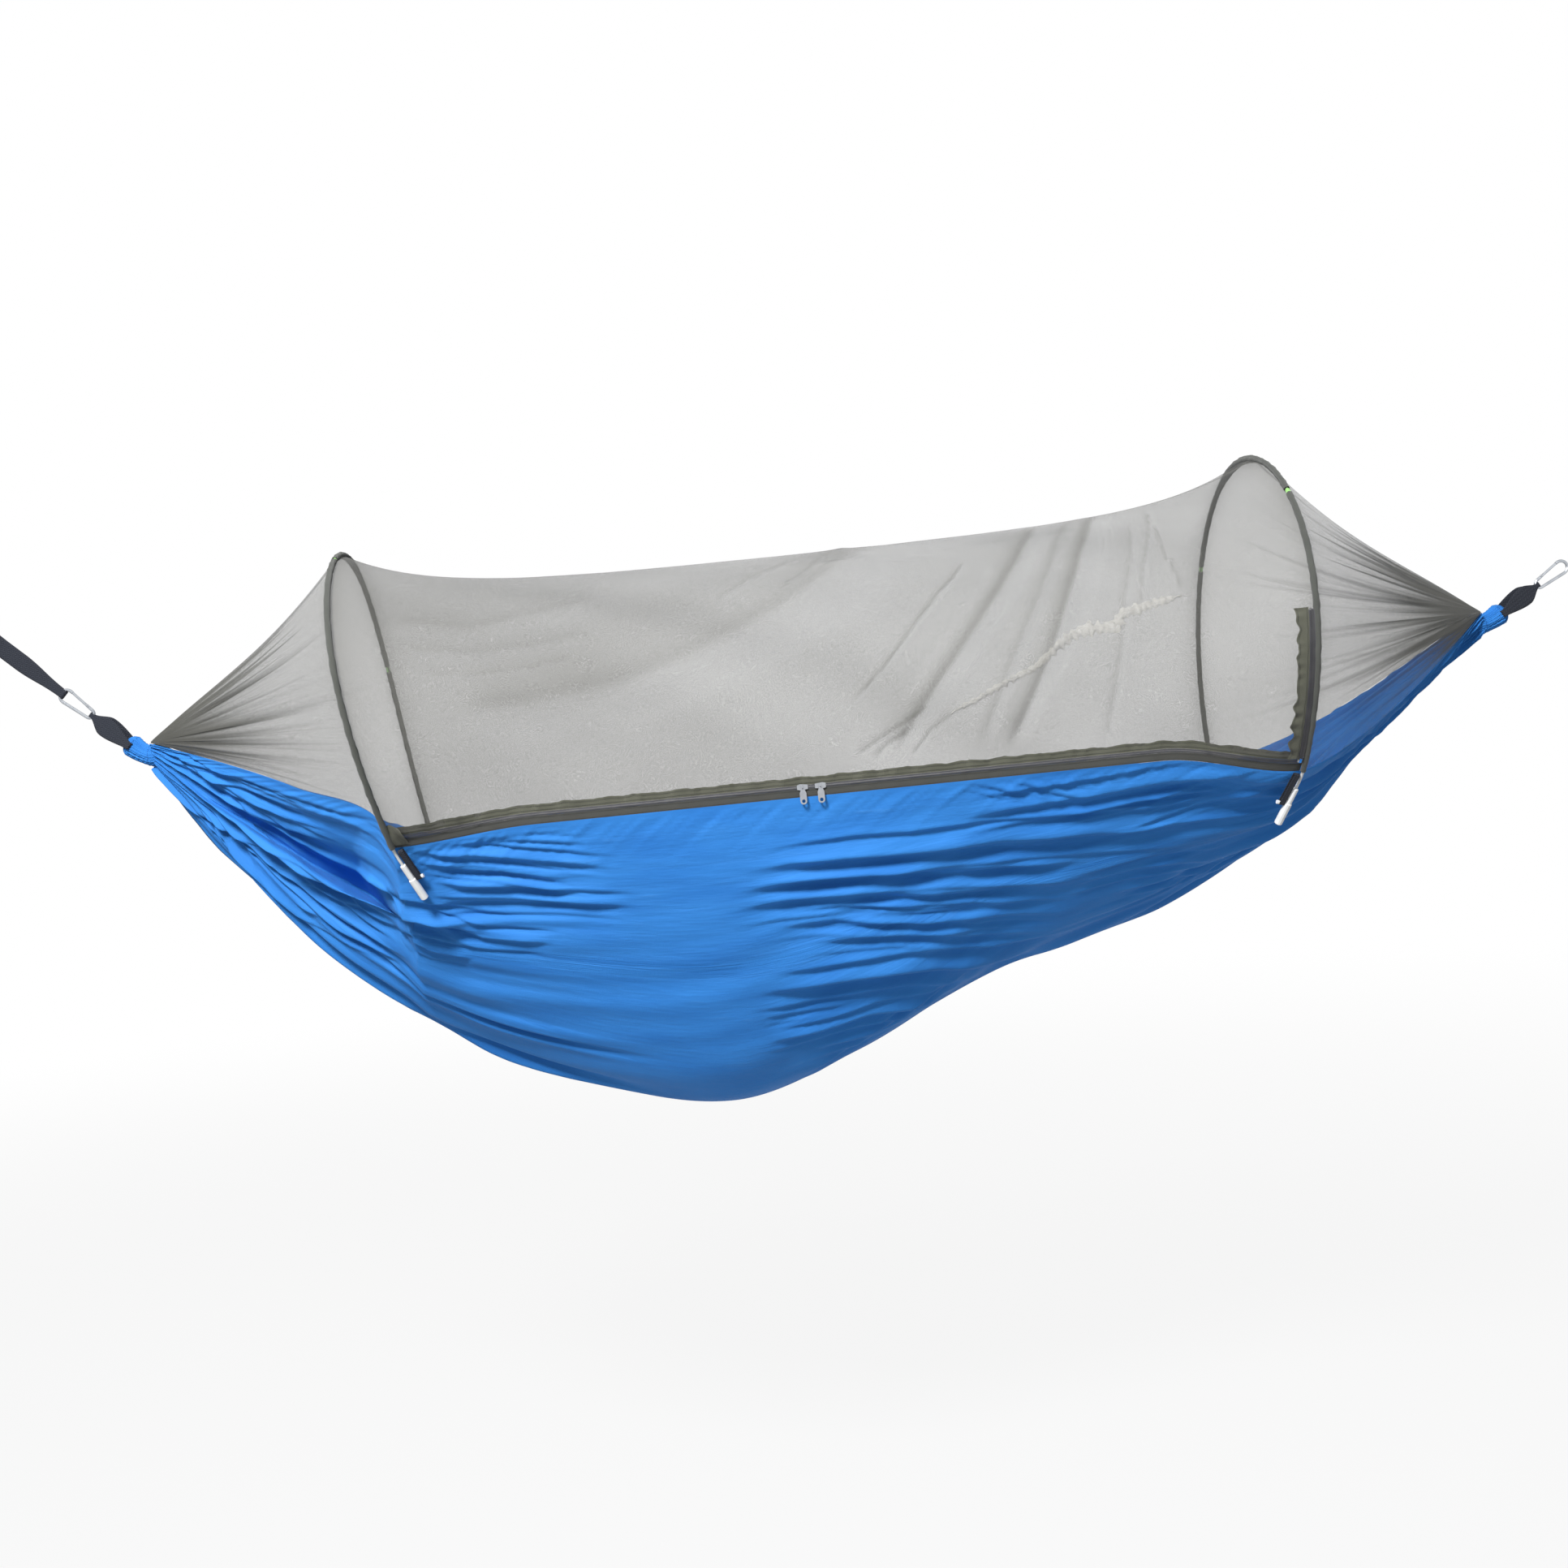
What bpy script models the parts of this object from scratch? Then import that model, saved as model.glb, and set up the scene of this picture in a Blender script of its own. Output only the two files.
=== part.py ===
# A hammock with a net roof on two sprung hoops, hanging from a carabiner at each end.
# X runs along the hammock, -Y is its zip side and +Z is up. The shapes are worked out
# about the middle of the bed, and the frame object moves that point so that the origin
# lies where the outer eye of the tree strap bears on its anchor.

import math
from collections import namedtuple

import bmesh
import bpy
from mathutils import Matrix, Vector

# Bed
bed_half_span = 1.165
bed_half_width = 0.33
bed_thickness = 0.002
belly_depth = 0.495
edge_height = 0.026
neck_height = 0.222
neck_half_width = 0.02
edge_straight_half = 0.49
bed_fold_depth = 0.011
neck_rise = 0.04
corner_set_in = 0.008

# Hoops
left_foot_reach = 0.739
left_foot_height = 0.011
left_lean = 0.062
left_half_width = 0.42
left_foot_half_width = 0.33
left_shoulder = 0.231
left_crown = 0.265
right_foot_reach = 0.737
right_foot_height = -0.011
right_lean = 0.025
right_half_width = 0.44
right_foot_half_width = 0.34
right_shoulder = 0.222
right_crown = 0.314
rod_radius = 0.0024
sleeve_radius = 0.0046
sleeve_wall = 0.0014
sleeve_gap = 0.014
ferrule_length = 0.011
ferrule_wall = 0.001
rod_exposed = 0.034

# End fittings of the rods
fitting_length = 0.068
fitting_neck_radius = 0.005
fitting_foot_radius = 0.0063
fitting_bevel = 0.0012
socket_depth = 0.026
peg_length = 0.017
peg_radius = 0.0023
fitting_stand_off = 0.0085
elastic_width = 0.009
elastic_thickness = 0.001

# Net
net_thickness = 0.0015
net_fold_depth = 0.007
crown_fade = 0.14
net_rim_gap = 0.0012
net_apex_set_in = 0.003
net_apex_height = 0.007

# Zip
lower_tape_height = 0.0115
tooth_row_height = 0.0021
tooth_slit = 0.0012
upper_tape_height = 0.0115
tape_thickness = 0.0012
tooth_thickness = 0.0024
slider_meeting = -0.06
slider_spacing = 0.028
slider_length = 0.017
slider_height = 0.0098
slider_plate = 0.0014
slider_web = 0.0006
slider_web_length = 0.008
bail_radius = 0.0007
bail_reach = 0.0036
bail_half_height = 0.0025
tab_length = 0.027
tab_width = 0.0105
tab_thickness = 0.0012
tab_bar = 0.0016
tab_window_width = 0.003
tab_window_height = 0.0034
tab_hole_radius = 0.0028
stop_length = 0.003
stop_wall = 0.0008
zip_leg_tape = 0.017
zip_leg_teeth = 0.0085
zip_leg_top = 0.228
zip_leg_start = 0.022
band_end_gap = 0.0035

# Suspension
neck_length = 0.04
channel_half_height = 0.019
channel_half_width = 0.0185
channel_end = 0.013
webbing_thickness = 0.0016
webbing_length = 0.092
webbing_neck_width = 0.012
webbing_leaf_width = 0.033
webbing_bow_width = 0.008
webbing_corner = 0.0025
strap_length = 0.2
strap_width = 0.03
strap_bow_width = 0.015
strap_taper = 0.09
strap_eye_length = 0.036
anchor_eye_length = 0.06
anchor_eye_radius = 0.009

# Carabiners
wire_radius = 0.0028
gate_radius = 0.0023
narrow_bow_radius = 0.0075
wide_bow_radius = 0.0115
bow_spacing = 0.048
hinge_setback = 0.011
nose_setback = 0.003
hinge_tongue = 0.0022
hinge_pin_radius = 0.0008

clearance = 0.0003
cut_overrun = 0.002

# Slopes, powers and shares
left_rise_angle = math.radians(43)
right_rise_angle = math.radians(31)
hoop_twist_share = 0.083
left_near_edge_power = 0.65
left_far_edge_power = 1.05
right_edge_power = 1.4
middle_section_power = 2.4
foot_section_power = 1.55
net_neck_share = 0.21
net_neck_power = 0.7
net_pull_height_share = 1 / 3
rim_hold_share = 5 / 12
rim_hold_power = 1.5
cone_hold_power = 3
cone_hollow_share = 0.08
left_ferrule_shares = (0.383, 0.775)
right_ferrule_shares = (0.3, 0.742)
fitting_lean_shares = (0.42, 0.6)
fitting_shoulder_share = 0.41
cone_station_power = 1.35
leaf_share = 0.62
channel_bend_share = 1 / 3
channel_waist_share = 0.12
channel_round_share = 0.85
pleat_share = 0.07
slider_waist_share = 0.7
hinge_end_share = 0.75
keel_shares = (
    (-1.0, 0.368), (-0.921, 0.099), (-0.791, -0.265), (-0.614, -0.636), (-0.412, -0.877),
    (-0.197, -1.0), (-0.006, -0.865), (0.208, -0.63), (0.331, -0.56), (0.474, -0.475),
    (0.66, -0.234), (0.806, 0.057), (1.0, 0.368),
)

# How finely the shapes are divided
cone_stations = 8
foot_stations = 3
middle_stations = 9
bed_strips = 18
net_strips = 18
bed_folds = 4
cone_folds = 6
pleats = 9

Hoop = namedtuple("Hoop", "side foot_reach foot_height lean half_width foot_half_width shoulder crown")
Side = namedtuple("Side", "name sign rise hoop ferrules edge_powers")

left_hoop = Hoop(
    -1, left_foot_reach, left_foot_height, left_lean,
    left_half_width, left_foot_half_width, left_shoulder, left_crown,
)
right_hoop = Hoop(
    1, right_foot_reach, right_foot_height, right_lean,
    right_half_width, right_foot_half_width, right_shoulder, right_crown,
)
left = Side(
    "left", -1, left_rise_angle, left_hoop, left_ferrule_shares,
    (left_near_edge_power, left_far_edge_power),
)
right = Side(
    "right", 1, right_rise_angle, right_hoop, right_ferrule_shares,
    (right_edge_power, right_edge_power),
)
sides = (left, right)

for old in list(bpy.data.objects):
    bpy.data.objects.remove(old, do_unlink=True)


def new_collection(name):
    collection = bpy.data.collections.new(name)
    bpy.context.scene.collection.children.link(collection)
    return collection


parts = new_collection("hammock_tent")
cutters = new_collection("cutters")


def new_material(name, colour, roughness, metallic=0.0):
    material = bpy.data.materials.new(name)
    material.use_nodes = True
    shader = material.node_tree.nodes["Principled BSDF"]
    shader.inputs["Base Color"].default_value = (*colour, 1.0)
    shader.inputs["Roughness"].default_value = roughness
    shader.inputs["Metallic"].default_value = metallic
    return material


blue_nylon = new_material("blue_nylon", (0.04, 0.22, 0.62), 0.55)
grey_net = new_material("grey_net", (0.42, 0.42, 0.38), 0.8)
sleeve_cloth = new_material("sleeve_cloth", (0.09, 0.1, 0.09), 0.85)
tape_cloth = new_material("tape_cloth", (0.11, 0.115, 0.09), 0.85)
tooth_plastic = new_material("tooth_plastic", (0.045, 0.045, 0.055), 0.5)
black_webbing = new_material("black_webbing", (0.025, 0.03, 0.04), 0.8)
white_plastic = new_material("white_plastic", (0.85, 0.85, 0.84), 0.4)
lime_plastic = new_material("lime_plastic", (0.35, 0.75, 0.2), 0.45)
pale_rod = new_material("pale_rod", (0.75, 0.76, 0.76), 0.35)
bright_metal = new_material("bright_metal", (0.78, 0.79, 0.8), 0.25, 1.0)


# Curves and points

def blend_step(t):
    t = min(max(t, 0.0), 1.0)
    return t * t * (3.0 - 2.0 * t)


def smooth_value(knots, place):
    # The height at a place on a smooth line through a few knots.
    last = len(knots) - 1
    if place <= knots[0][0]:
        return knots[0][1]
    if place >= knots[last][0]:
        return knots[last][1]
    k = max(i for i in range(last) if knots[i][0] <= place)

    def slope(i):
        low, high = max(i - 1, 0), min(i + 1, last)
        return (knots[high][1] - knots[low][1]) / (knots[high][0] - knots[low][0])

    span = knots[k + 1][0] - knots[k][0]
    t = (place - knots[k][0]) / span
    start, end = knots[k][1], knots[k + 1][1]
    rise = t * t * (3 - 2 * t)
    return (
        start + (end - start) * rise
        + slope(k) * span * t * (1 - t) ** 2
        - slope(k + 1) * span * t * t * (1 - t)
    )


def lengths_along(points):
    total, found = 0.0, [0.0]
    for one, two in zip(points, points[1:]):
        total += (two - one).length
        found.append(total)
    return found


def points_at(points, places):
    # The points that lie at given lengths along a line.
    reached = lengths_along(points)
    found = []
    for place in places:
        place = min(max(place, 0.0), reached[-1])
        k = max(i for i in range(len(points) - 1) if reached[i] <= place)
        step = reached[k + 1] - reached[k]
        found.append(points[k].lerp(points[k + 1], (place - reached[k]) / step))
    return found


def even_points(points, count):
    total = lengths_along(points)[-1]
    return points_at(points, [total * i / (count - 1) for i in range(count)])


def belt(circles, run_steps=1, turn=math.radians(20)):
    # The closed line of a belt round some circles, which are listed anticlockwise.
    normals = []
    for (one, small), (two, large) in zip(circles, circles[1:] + circles[:1]):
        way = two - one
        along = way.normalized()
        outward = Vector((along.y, -along.x))
        tilt = math.asin((small - large) / way.length)
        normals.append(outward * math.cos(tilt) + along * math.sin(tilt))
    line = []
    for k, (centre, radius) in enumerate(circles):
        first, last = normals[k - 1], normals[k]
        start = math.atan2(first.y, first.x)
        sweep = (math.atan2(last.y, last.x) - start) % math.tau
        steps = max(1, round(sweep / turn))
        for i in range(steps + 1):
            angle = start + sweep * i / steps
            line.append(centre + Vector((math.cos(angle), math.sin(angle))) * radius)
        following, next_radius = circles[(k + 1) % len(circles)]
        run_start, run_end = centre + last * radius, following + last * next_radius
        for i in range(1, run_steps):
            line.append(run_start.lerp(run_end, i / run_steps))
    return line


# Objects

def add_object(name, data, material=None, matrix=None, collection=parts):
    thing = bpy.data.objects.new(name, data)
    collection.objects.link(thing)
    if matrix is not None:
        thing.matrix_world = matrix
    if material is not None:
        data.materials.clear()
        data.materials.append(material)
    return thing


def mesh_from(name, fill):
    mesh = bpy.data.meshes.new(name)
    shape = bmesh.new()
    fill(shape)
    bmesh.ops.recalc_face_normals(shape, faces=shape.faces)
    shape.to_mesh(mesh)
    shape.free()
    return mesh


def smooth(thing, angle=math.radians(40)):
    thing.data.shade_smooth()
    thing.data.set_sharp_from_angle(angle=angle)
    return thing


def solid_mesh(thing):
    # The evaluated mesh of an object, with its loose seams welded.
    evaluated = thing.evaluated_get(bpy.context.evaluated_depsgraph_get())
    mesh = bpy.data.meshes.new_from_object(evaluated)
    shape = bmesh.new()
    shape.from_mesh(mesh)
    bmesh.ops.remove_doubles(shape, verts=shape.verts, dist=clearance / 30)
    bmesh.ops.recalc_face_normals(shape, faces=shape.faces)
    shape.to_mesh(mesh)
    shape.free()
    return mesh


def made_solid(thing, material):
    # Turns a curve, or an object with modifiers, into a plain closed mesh object.
    bpy.context.view_layer.update()
    mesh = solid_mesh(thing)
    name, matrix = thing.name, thing.matrix_world.copy()
    bpy.data.objects.remove(thing, do_unlink=True)
    mesh.name = name
    return smooth(add_object(name, mesh, material, matrix))


def sheet(name, rows, thickness, material):
    # A cloth surface through rows of points, thickened about its middle.
    def fill(shape):
        grid = [[shape.verts.new(point) for point in row] for row in rows]
        for lower, upper in zip(grid, grid[1:]):
            for i in range(len(lower) - 1):
                shape.faces.new((lower[i], lower[i + 1], upper[i + 1], upper[i]))

    thing = add_object(name, mesh_from(name, fill), material)
    thicken(thing, thickness)
    return smooth(thing, math.radians(60))


def thicken(thing, thickness):
    wall = thing.modifiers.new("thickness", "SOLIDIFY")
    wall.thickness = thickness
    wall.offset = 0.0
    wall.use_quality_normals = True


def poly_curve(name, points, radius, resolution=2, cyclic=False):
    data = bpy.data.curves.new(name, "CURVE")
    data.dimensions = "3D"
    line = data.splines.new("POLY")
    line.points.add(len(points) - 1)
    for place, point in zip(line.points, points):
        place.co = (*point, 1.0)
    line.use_cyclic_u = cyclic
    data.bevel_depth = radius
    data.bevel_resolution = resolution
    data.use_fill_caps = not cyclic
    return data


def rod(name, points, radius, material, resolution=2):
    return made_solid(add_object(name, poly_curve(name, points, radius, resolution)), material)


def pipe(name, points, radius, wall, material, resolution=2):
    # A tube with a bore, open at both ends.
    data = poly_curve(name, points, radius - wall / 2, resolution)
    data.use_fill_caps = False
    thing = made_solid(add_object(name, data), material)
    thicken(thing, wall)
    return thing


def outline(name, loops, half_depth, material=None, matrix=None, collection=parts):
    # A flat outline, with holes for its inner loops, extruded to both sides.
    data = bpy.data.curves.new(name, "CURVE")
    data.dimensions = "2D"
    data.fill_mode = "BOTH"
    data.extrude = half_depth
    for loop in loops:
        line = data.splines.new("POLY")
        line.points.add(len(loop) - 1)
        for place, point in zip(line.points, loop):
            place.co = (point.x, point.y, 0.0, 1.0)
        line.use_cyclic_u = True
    thing = made_solid(add_object(name, data, collection=parts), material)
    if matrix is not None:
        thing.matrix_world = matrix
    if collection is not parts:
        make_cutter(thing)
    return thing


def make_cutter(thing):
    for holder in list(thing.users_collection):
        holder.objects.unlink(thing)
    cutters.objects.link(thing)
    thing.hide_render = True
    thing.display_type = "WIRE"
    return thing


def box_cutter(name, size, matrix):
    def fill(shape):
        bmesh.ops.create_cube(shape, size=1.0, matrix=Matrix.Diagonal((*size, 1.0)))

    return make_cutter(add_object(name, mesh_from(name, fill), matrix=matrix))


def round_cutter(name, radius, length, matrix, sides=16):
    def fill(shape):
        bmesh.ops.create_cone(
            shape, cap_ends=True, segments=sides, radius1=radius, radius2=radius, depth=length
        )

    return make_cutter(add_object(name, mesh_from(name, fill), matrix=matrix))


def apply_boolean(thing, other, operation="DIFFERENCE"):
    step = thing.modifiers.new(other.name, "BOOLEAN")
    step.operation = operation
    step.object = other
    return step


def about(point, x_axis, z_axis):
    # A placing matrix with its X and Z along two given directions.
    x_axis = x_axis.normalized()
    z_axis = (z_axis - x_axis * z_axis.dot(x_axis)).normalized()
    y_axis = z_axis.cross(x_axis)
    turned = Matrix((x_axis, y_axis, z_axis)).transposed()
    return Matrix.Translation(point) @ turned.to_4x4()


def set_origin(thing, point):
    # Moves an object's origin onto its joint, with its shape left in place.
    back = thing.matrix_world.inverted() @ Matrix.Translation(point)
    thing.data.transform(back.inverted())
    thing.matrix_world = thing.matrix_world @ back


# The bed's edge line, keel and cross-sections

def side_of(x):
    return left if x < 0 else right


def leg_reach(hoop, across):
    # How far out along the hammock the near (-1) or far (1) leg of a hoop stands.
    return hoop.foot_reach + hoop_twist_share * hoop.foot_half_width * across


def foot_share(x, across):
    # 0 where the edge is straight, 1 at the leg.
    reach = leg_reach(side_of(x).hoop, across)
    return (abs(x) - edge_straight_half) / (reach - edge_straight_half)


def neck_share(x, across):
    # 0 at the leg, 1 at the neck.
    reach = leg_reach(side_of(x).hoop, across)
    return (abs(x) - reach) / (bed_half_span - reach)


def edge_height_at(x, across):
    foot = side_of(x).hoop.foot_height
    along = max(neck_share(x, across), 0.0)
    if along > 0:
        near_power, far_power = side_of(x).edge_powers
        return foot + (neck_height - foot) * along ** (near_power if across < 0 else far_power)
    return edge_height + (foot - edge_height) * blend_step(foot_share(x, across))


def edge_width_at(x, across):
    foot = side_of(x).hoop.foot_half_width - corner_set_in
    along = max(neck_share(x, across), 0.0)
    if along > 0:
        return foot + (neck_half_width - foot) * along
    return bed_half_width + (foot - bed_half_width) * blend_step(foot_share(x, across))


def row_places(across):
    # Where the bed's rows reach one of its edges, from the left neck to the right one.
    left_leg, right_leg = -leg_reach(left_hoop, across), leg_reach(right_hoop, across)
    shares = [(i / cone_stations) ** cone_station_power for i in range(cone_stations + 1)]
    places = [left_leg - (bed_half_span + left_leg) * share for share in shares[::-1]]
    stops = (left_leg, -edge_straight_half, edge_straight_half, right_leg)
    for start, end, count in zip(stops, stops[1:], (foot_stations, middle_stations, foot_stations)):
        places += [start + (end - start) * (i + 1) / count for i in range(count)]
    return places + [right_leg + (bed_half_span - right_leg) * share for share in shares[1:]]


def edge_rim(across):
    return [
        Vector((x, across * edge_width_at(x, across), edge_height_at(x, across)))
        for x in row_places(across)
    ]


edge_rims = {across: edge_rim(across) for across in (-1, 1)}
left_foot_row = cone_stations
right_foot_row = cone_stations + 2 * foot_stations + middle_stations


def edge_at(x, across):
    # The point of the bed's edge at some x, on the straight runs between its rows.
    rim = edge_rims[across]
    k = max(i for i in range(len(rim) - 1) if rim[i].x <= x or i == 0)
    return rim[k].lerp(rim[k + 1], (x - rim[k].x) / (rim[k + 1].x - rim[k].x))


def keel_at(x):
    return belly_depth * smooth_value(keel_shares, x / bed_half_span)


def section_power(x):
    # Deep and full in the middle, slack and pointed at the feet of the hoops.
    reach = abs(x) / side_of(x).hoop.foot_reach
    return middle_section_power + (foot_section_power - middle_section_power) * blend_step(reach)


def bed_side_at(x, height, across):
    # How far out the bed's near (-1) or far (1) side hangs at some height.
    edge = edge_at(x, across)
    down = min(max((edge.z - height) / (edge.z - keel_at(x)), 0.0), 1.0)
    return abs(edge.y) * (1 - down) ** (1 / section_power(x))


def bed_section(near, far, count):
    # Evenly spaced points across the bed, from its near edge under the keel to its far edge.
    middle = (near.x + far.x) / 2
    keel, power = keel_at(middle), section_power(middle)
    dense = []
    for i in range(4 * count + 1):
        share = math.sin(math.pi * (i / (4 * count) - 0.5))
        edge = near if share < 0 else far
        depth = (edge.z - keel) * (1 - abs(share) ** power)
        x = near.x + (far.x - near.x) * (share + 1) / 2
        dense.append(Vector((x, edge.y * abs(share), edge.z - depth)))
    return even_points(dense, count)


def fold_strength(x):
    # Folds run out from each neck and fade before the middle of the bed.
    t = (abs(x) - edge_straight_half) / (bed_half_span - edge_straight_half)
    return math.sin(math.pi * min(max(t, 0.0), 1.0))


def bed_rows():
    rows = []
    for near, far in zip(edge_rims[-1], edge_rims[1]):
        points = bed_section(near, far, bed_strips + 1)
        strength = bed_fold_depth * fold_strength((near.x + far.x) / 2)
        moved = []
        for k, point in enumerate(points):
            before, after = points[max(k - 1, 0)], points[min(k + 1, bed_strips)]
            outward = Vector((0, after.z - before.z, before.y - after.y)).normalized()
            wave = math.cos(math.tau * bed_folds * k / bed_strips)
            window = math.sin(math.pi * k / bed_strips) ** 2
            moved.append(point + outward * strength * wave * window)
        rows.append(moved)
    return rows


def make_bed():
    return sheet("bed_fabric", bed_rows(), bed_thickness, blue_nylon)


# Hoops

def hoop_point(hoop, height, across):
    # A point of the hoop's centre line, at a height over its foot and a distance across.
    total = hoop.shoulder + hoop.crown
    reach = hoop.foot_reach + hoop.lean * (1 - (1 - height / total) ** 2)
    return Vector((hoop.side * (reach + hoop_twist_share * across), across, height + hoop.foot_height))


def hoop_half(hoop, low):
    # Heights and half widths from a low point of a leg up to the crown.
    found = []
    steps = 16
    for i in range(steps):
        height = low + (hoop.shoulder - low) * i / steps
        under = (hoop.shoulder - height) / hoop.shoulder
        found.append((height, hoop.half_width - (hoop.half_width - hoop.foot_half_width) * under ** 2))
    for i in range(2 * steps + 1):
        angle = math.pi * i / (4 * steps)
        found.append((hoop.shoulder + hoop.crown * math.sin(angle), hoop.half_width * math.cos(angle)))
    return found


def hoop_line(hoop, near_low=0.0, far_low=0.0):
    near = [hoop_point(hoop, height, -across) for height, across in hoop_half(hoop, near_low)]
    far = [hoop_point(hoop, height, across) for height, across in hoop_half(hoop, far_low)]
    return near + far[::-1][1:]


def fitting_way(hoop, across):
    # The direction in which a rod's end and its fitting run down, clear of the bed's side.
    inward_x, inward_y = fitting_lean_shares
    way = Vector((-hoop.side * inward_x, -across * inward_y, -1)).normalized()
    foot = hoop_point(hoop, 0.0, across * hoop.foot_half_width)
    end = foot + way * (rod_exposed + fitting_length)
    nearest = bed_side_at(end.x, end.z, across) + fitting_foot_radius + fitting_stand_off
    inward_y = min(inward_y, (abs(foot.y) - nearest) / (foot.z - end.z))
    return Vector((-hoop.side * inward_x, -across * inward_y, -1)).normalized()


def rod_end(hoop, across):
    # The centre line below a foot, from the sleeve's mouth to the fitting's mouth.
    foot = hoop_point(hoop, 0.0, across * hoop.foot_half_width)
    above = hoop_line(hoop)[1] if across < 0 else hoop_line(hoop)[-2]
    start_way = (foot - above).normalized()
    way = fitting_way(hoop, across)
    points, place = [foot], foot.copy()
    steps = 3
    for i in range(steps):
        heading = start_way.lerp(way, (i + 1) / steps).normalized()
        place = place + heading * rod_exposed / steps
        points.append(place.copy())
    return points


def hoop_stations(side):
    # Points along the whole hoop, with a straight stretch across each ferrule.
    line = hoop_line(side.hoop)
    total = lengths_along(line)[-1]
    near, far = (share * total for share in side.ferrules)
    cuts = (0.0, near - sleeve_gap / 2, near + sleeve_gap / 2, far - sleeve_gap / 2, far + sleeve_gap / 2, total)
    stretches = []
    for start, end in zip(cuts[::2], cuts[1::2]):
        count = max(3, round((end - start) / sleeve_radius / 9))
        places = [start + (end - start) * i / count for i in range(count + 1)]
        stretches.append(points_at(line, places))
    return stretches


def make_hoop(side):
    hoop = side.hoop
    near, top, far = hoop_stations(side)
    made = []
    for label, stretch in (("near", near), ("top", top), ("far", far)):
        name = "rod_sleeve_%s_%s" % (side.name, label)
        made.append(pipe(name, stretch, sleeve_radius, sleeve_wall, sleeve_cloth))
    near_end, far_end = rod_end(hoop, -1), rod_end(hoop, 1)
    near_way, far_way = fitting_way(hoop, -1), fitting_way(hoop, 1)
    near_tip = near_end[-1] + near_way * (socket_depth - clearance)
    far_tip = far_end[-1] + far_way * (socket_depth - clearance)
    near_way_on = (top[0] - near[-1]).normalized() * clearance / 2
    far_way_on = (far[0] - top[-1]).normalized() * clearance / 2
    near_joint, far_joint = (near[-1] + top[0]) / 2, (top[-1] + far[0]) / 2
    runs = {
        "near": [near_tip] + near_end[:0:-1] + near + [near_joint - near_way_on],
        "top": [near_joint + near_way_on] + top + [far_joint - far_way_on],
        "far": [far_joint + far_way_on] + far + far_end[1:] + [far_tip],
    }
    for label, run in runs.items():
        made.append(rod("rod_%s_%s" % (side.name, label), run, rod_radius, pale_rod))
    for label, joint, way in (("near", near_joint, near_way_on), ("far", far_joint, far_way_on)):
        half = way.normalized() * ferrule_length / 2
        bore = rod_radius + clearance
        made.append(pipe(
            "ferrule_%s_%s" % (side.name, label), [joint - half, joint + half],
            bore + ferrule_wall, ferrule_wall, lime_plastic,
        ))
    made.append(make_fitting(side, "near", near_end[-1], near_way))
    made.append(make_fitting(side, "far", far_end[-1], far_way))
    return made


def peg_way(side, way):
    # The side peg points in along the hammock, square to its fitting.
    inward = Vector((-side.sign, 0, 0))
    return (inward - way * inward.dot(way)).normalized()


def make_fitting(side, label, mouth, way):
    # A turned socket with a thicker foot, a bore for the rod and a peg for the elastic.
    name = "rod_fitting_%s_%s" % (side.name, label)
    bore = rod_radius + clearance
    shoulder = fitting_length * fitting_shoulder_share
    profile = (
        (bore, 0), (fitting_neck_radius - fitting_bevel, 0), (fitting_neck_radius, -fitting_bevel),
        (fitting_neck_radius, -shoulder), (fitting_foot_radius, -shoulder - fitting_bevel),
        (fitting_foot_radius, -fitting_length + fitting_bevel),
        (fitting_foot_radius - fitting_bevel, -fitting_length), (0, -fitting_length),
    )
    mesh = bpy.data.meshes.new(name)
    places = [(0, 0, -socket_depth), (bore, 0, -socket_depth)] + [(x, 0, z) for x, z in profile]
    mesh.from_pydata(places, [(i, i + 1) for i in range(len(places) - 1)], [])
    thing = add_object(name, mesh, white_plastic)
    turn = thing.modifiers.new("turned", "SCREW")
    turn.steps = turn.render_steps = 12
    turn.use_merge_vertices = True
    turn.merge_threshold = clearance / 30
    solid = made_solid(thing, white_plastic)
    solid.matrix_world = about(mouth, peg_way(side, way), -way)
    bpy.context.view_layer.update()
    peg_name = name + "_peg"
    root = Vector((fitting_neck_radius / 2, 0, -shoulder - peg_radius))
    tip = Vector((peg_length, 0, root.z))
    head = Vector((peg_length + peg_radius, 0, root.z))
    peg = rod(peg_name, [root, tip], peg_radius, white_plastic)
    peg_head = rod(peg_name + "_head", [tip - Vector((peg_radius / 2, 0, 0)), head],
                   peg_radius + elastic_thickness, white_plastic)
    for piece in (peg, peg_head):
        piece.matrix_world = solid.matrix_world.copy()
        make_cutter(piece)
        apply_boolean(solid, piece, "UNION")
    return solid


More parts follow.
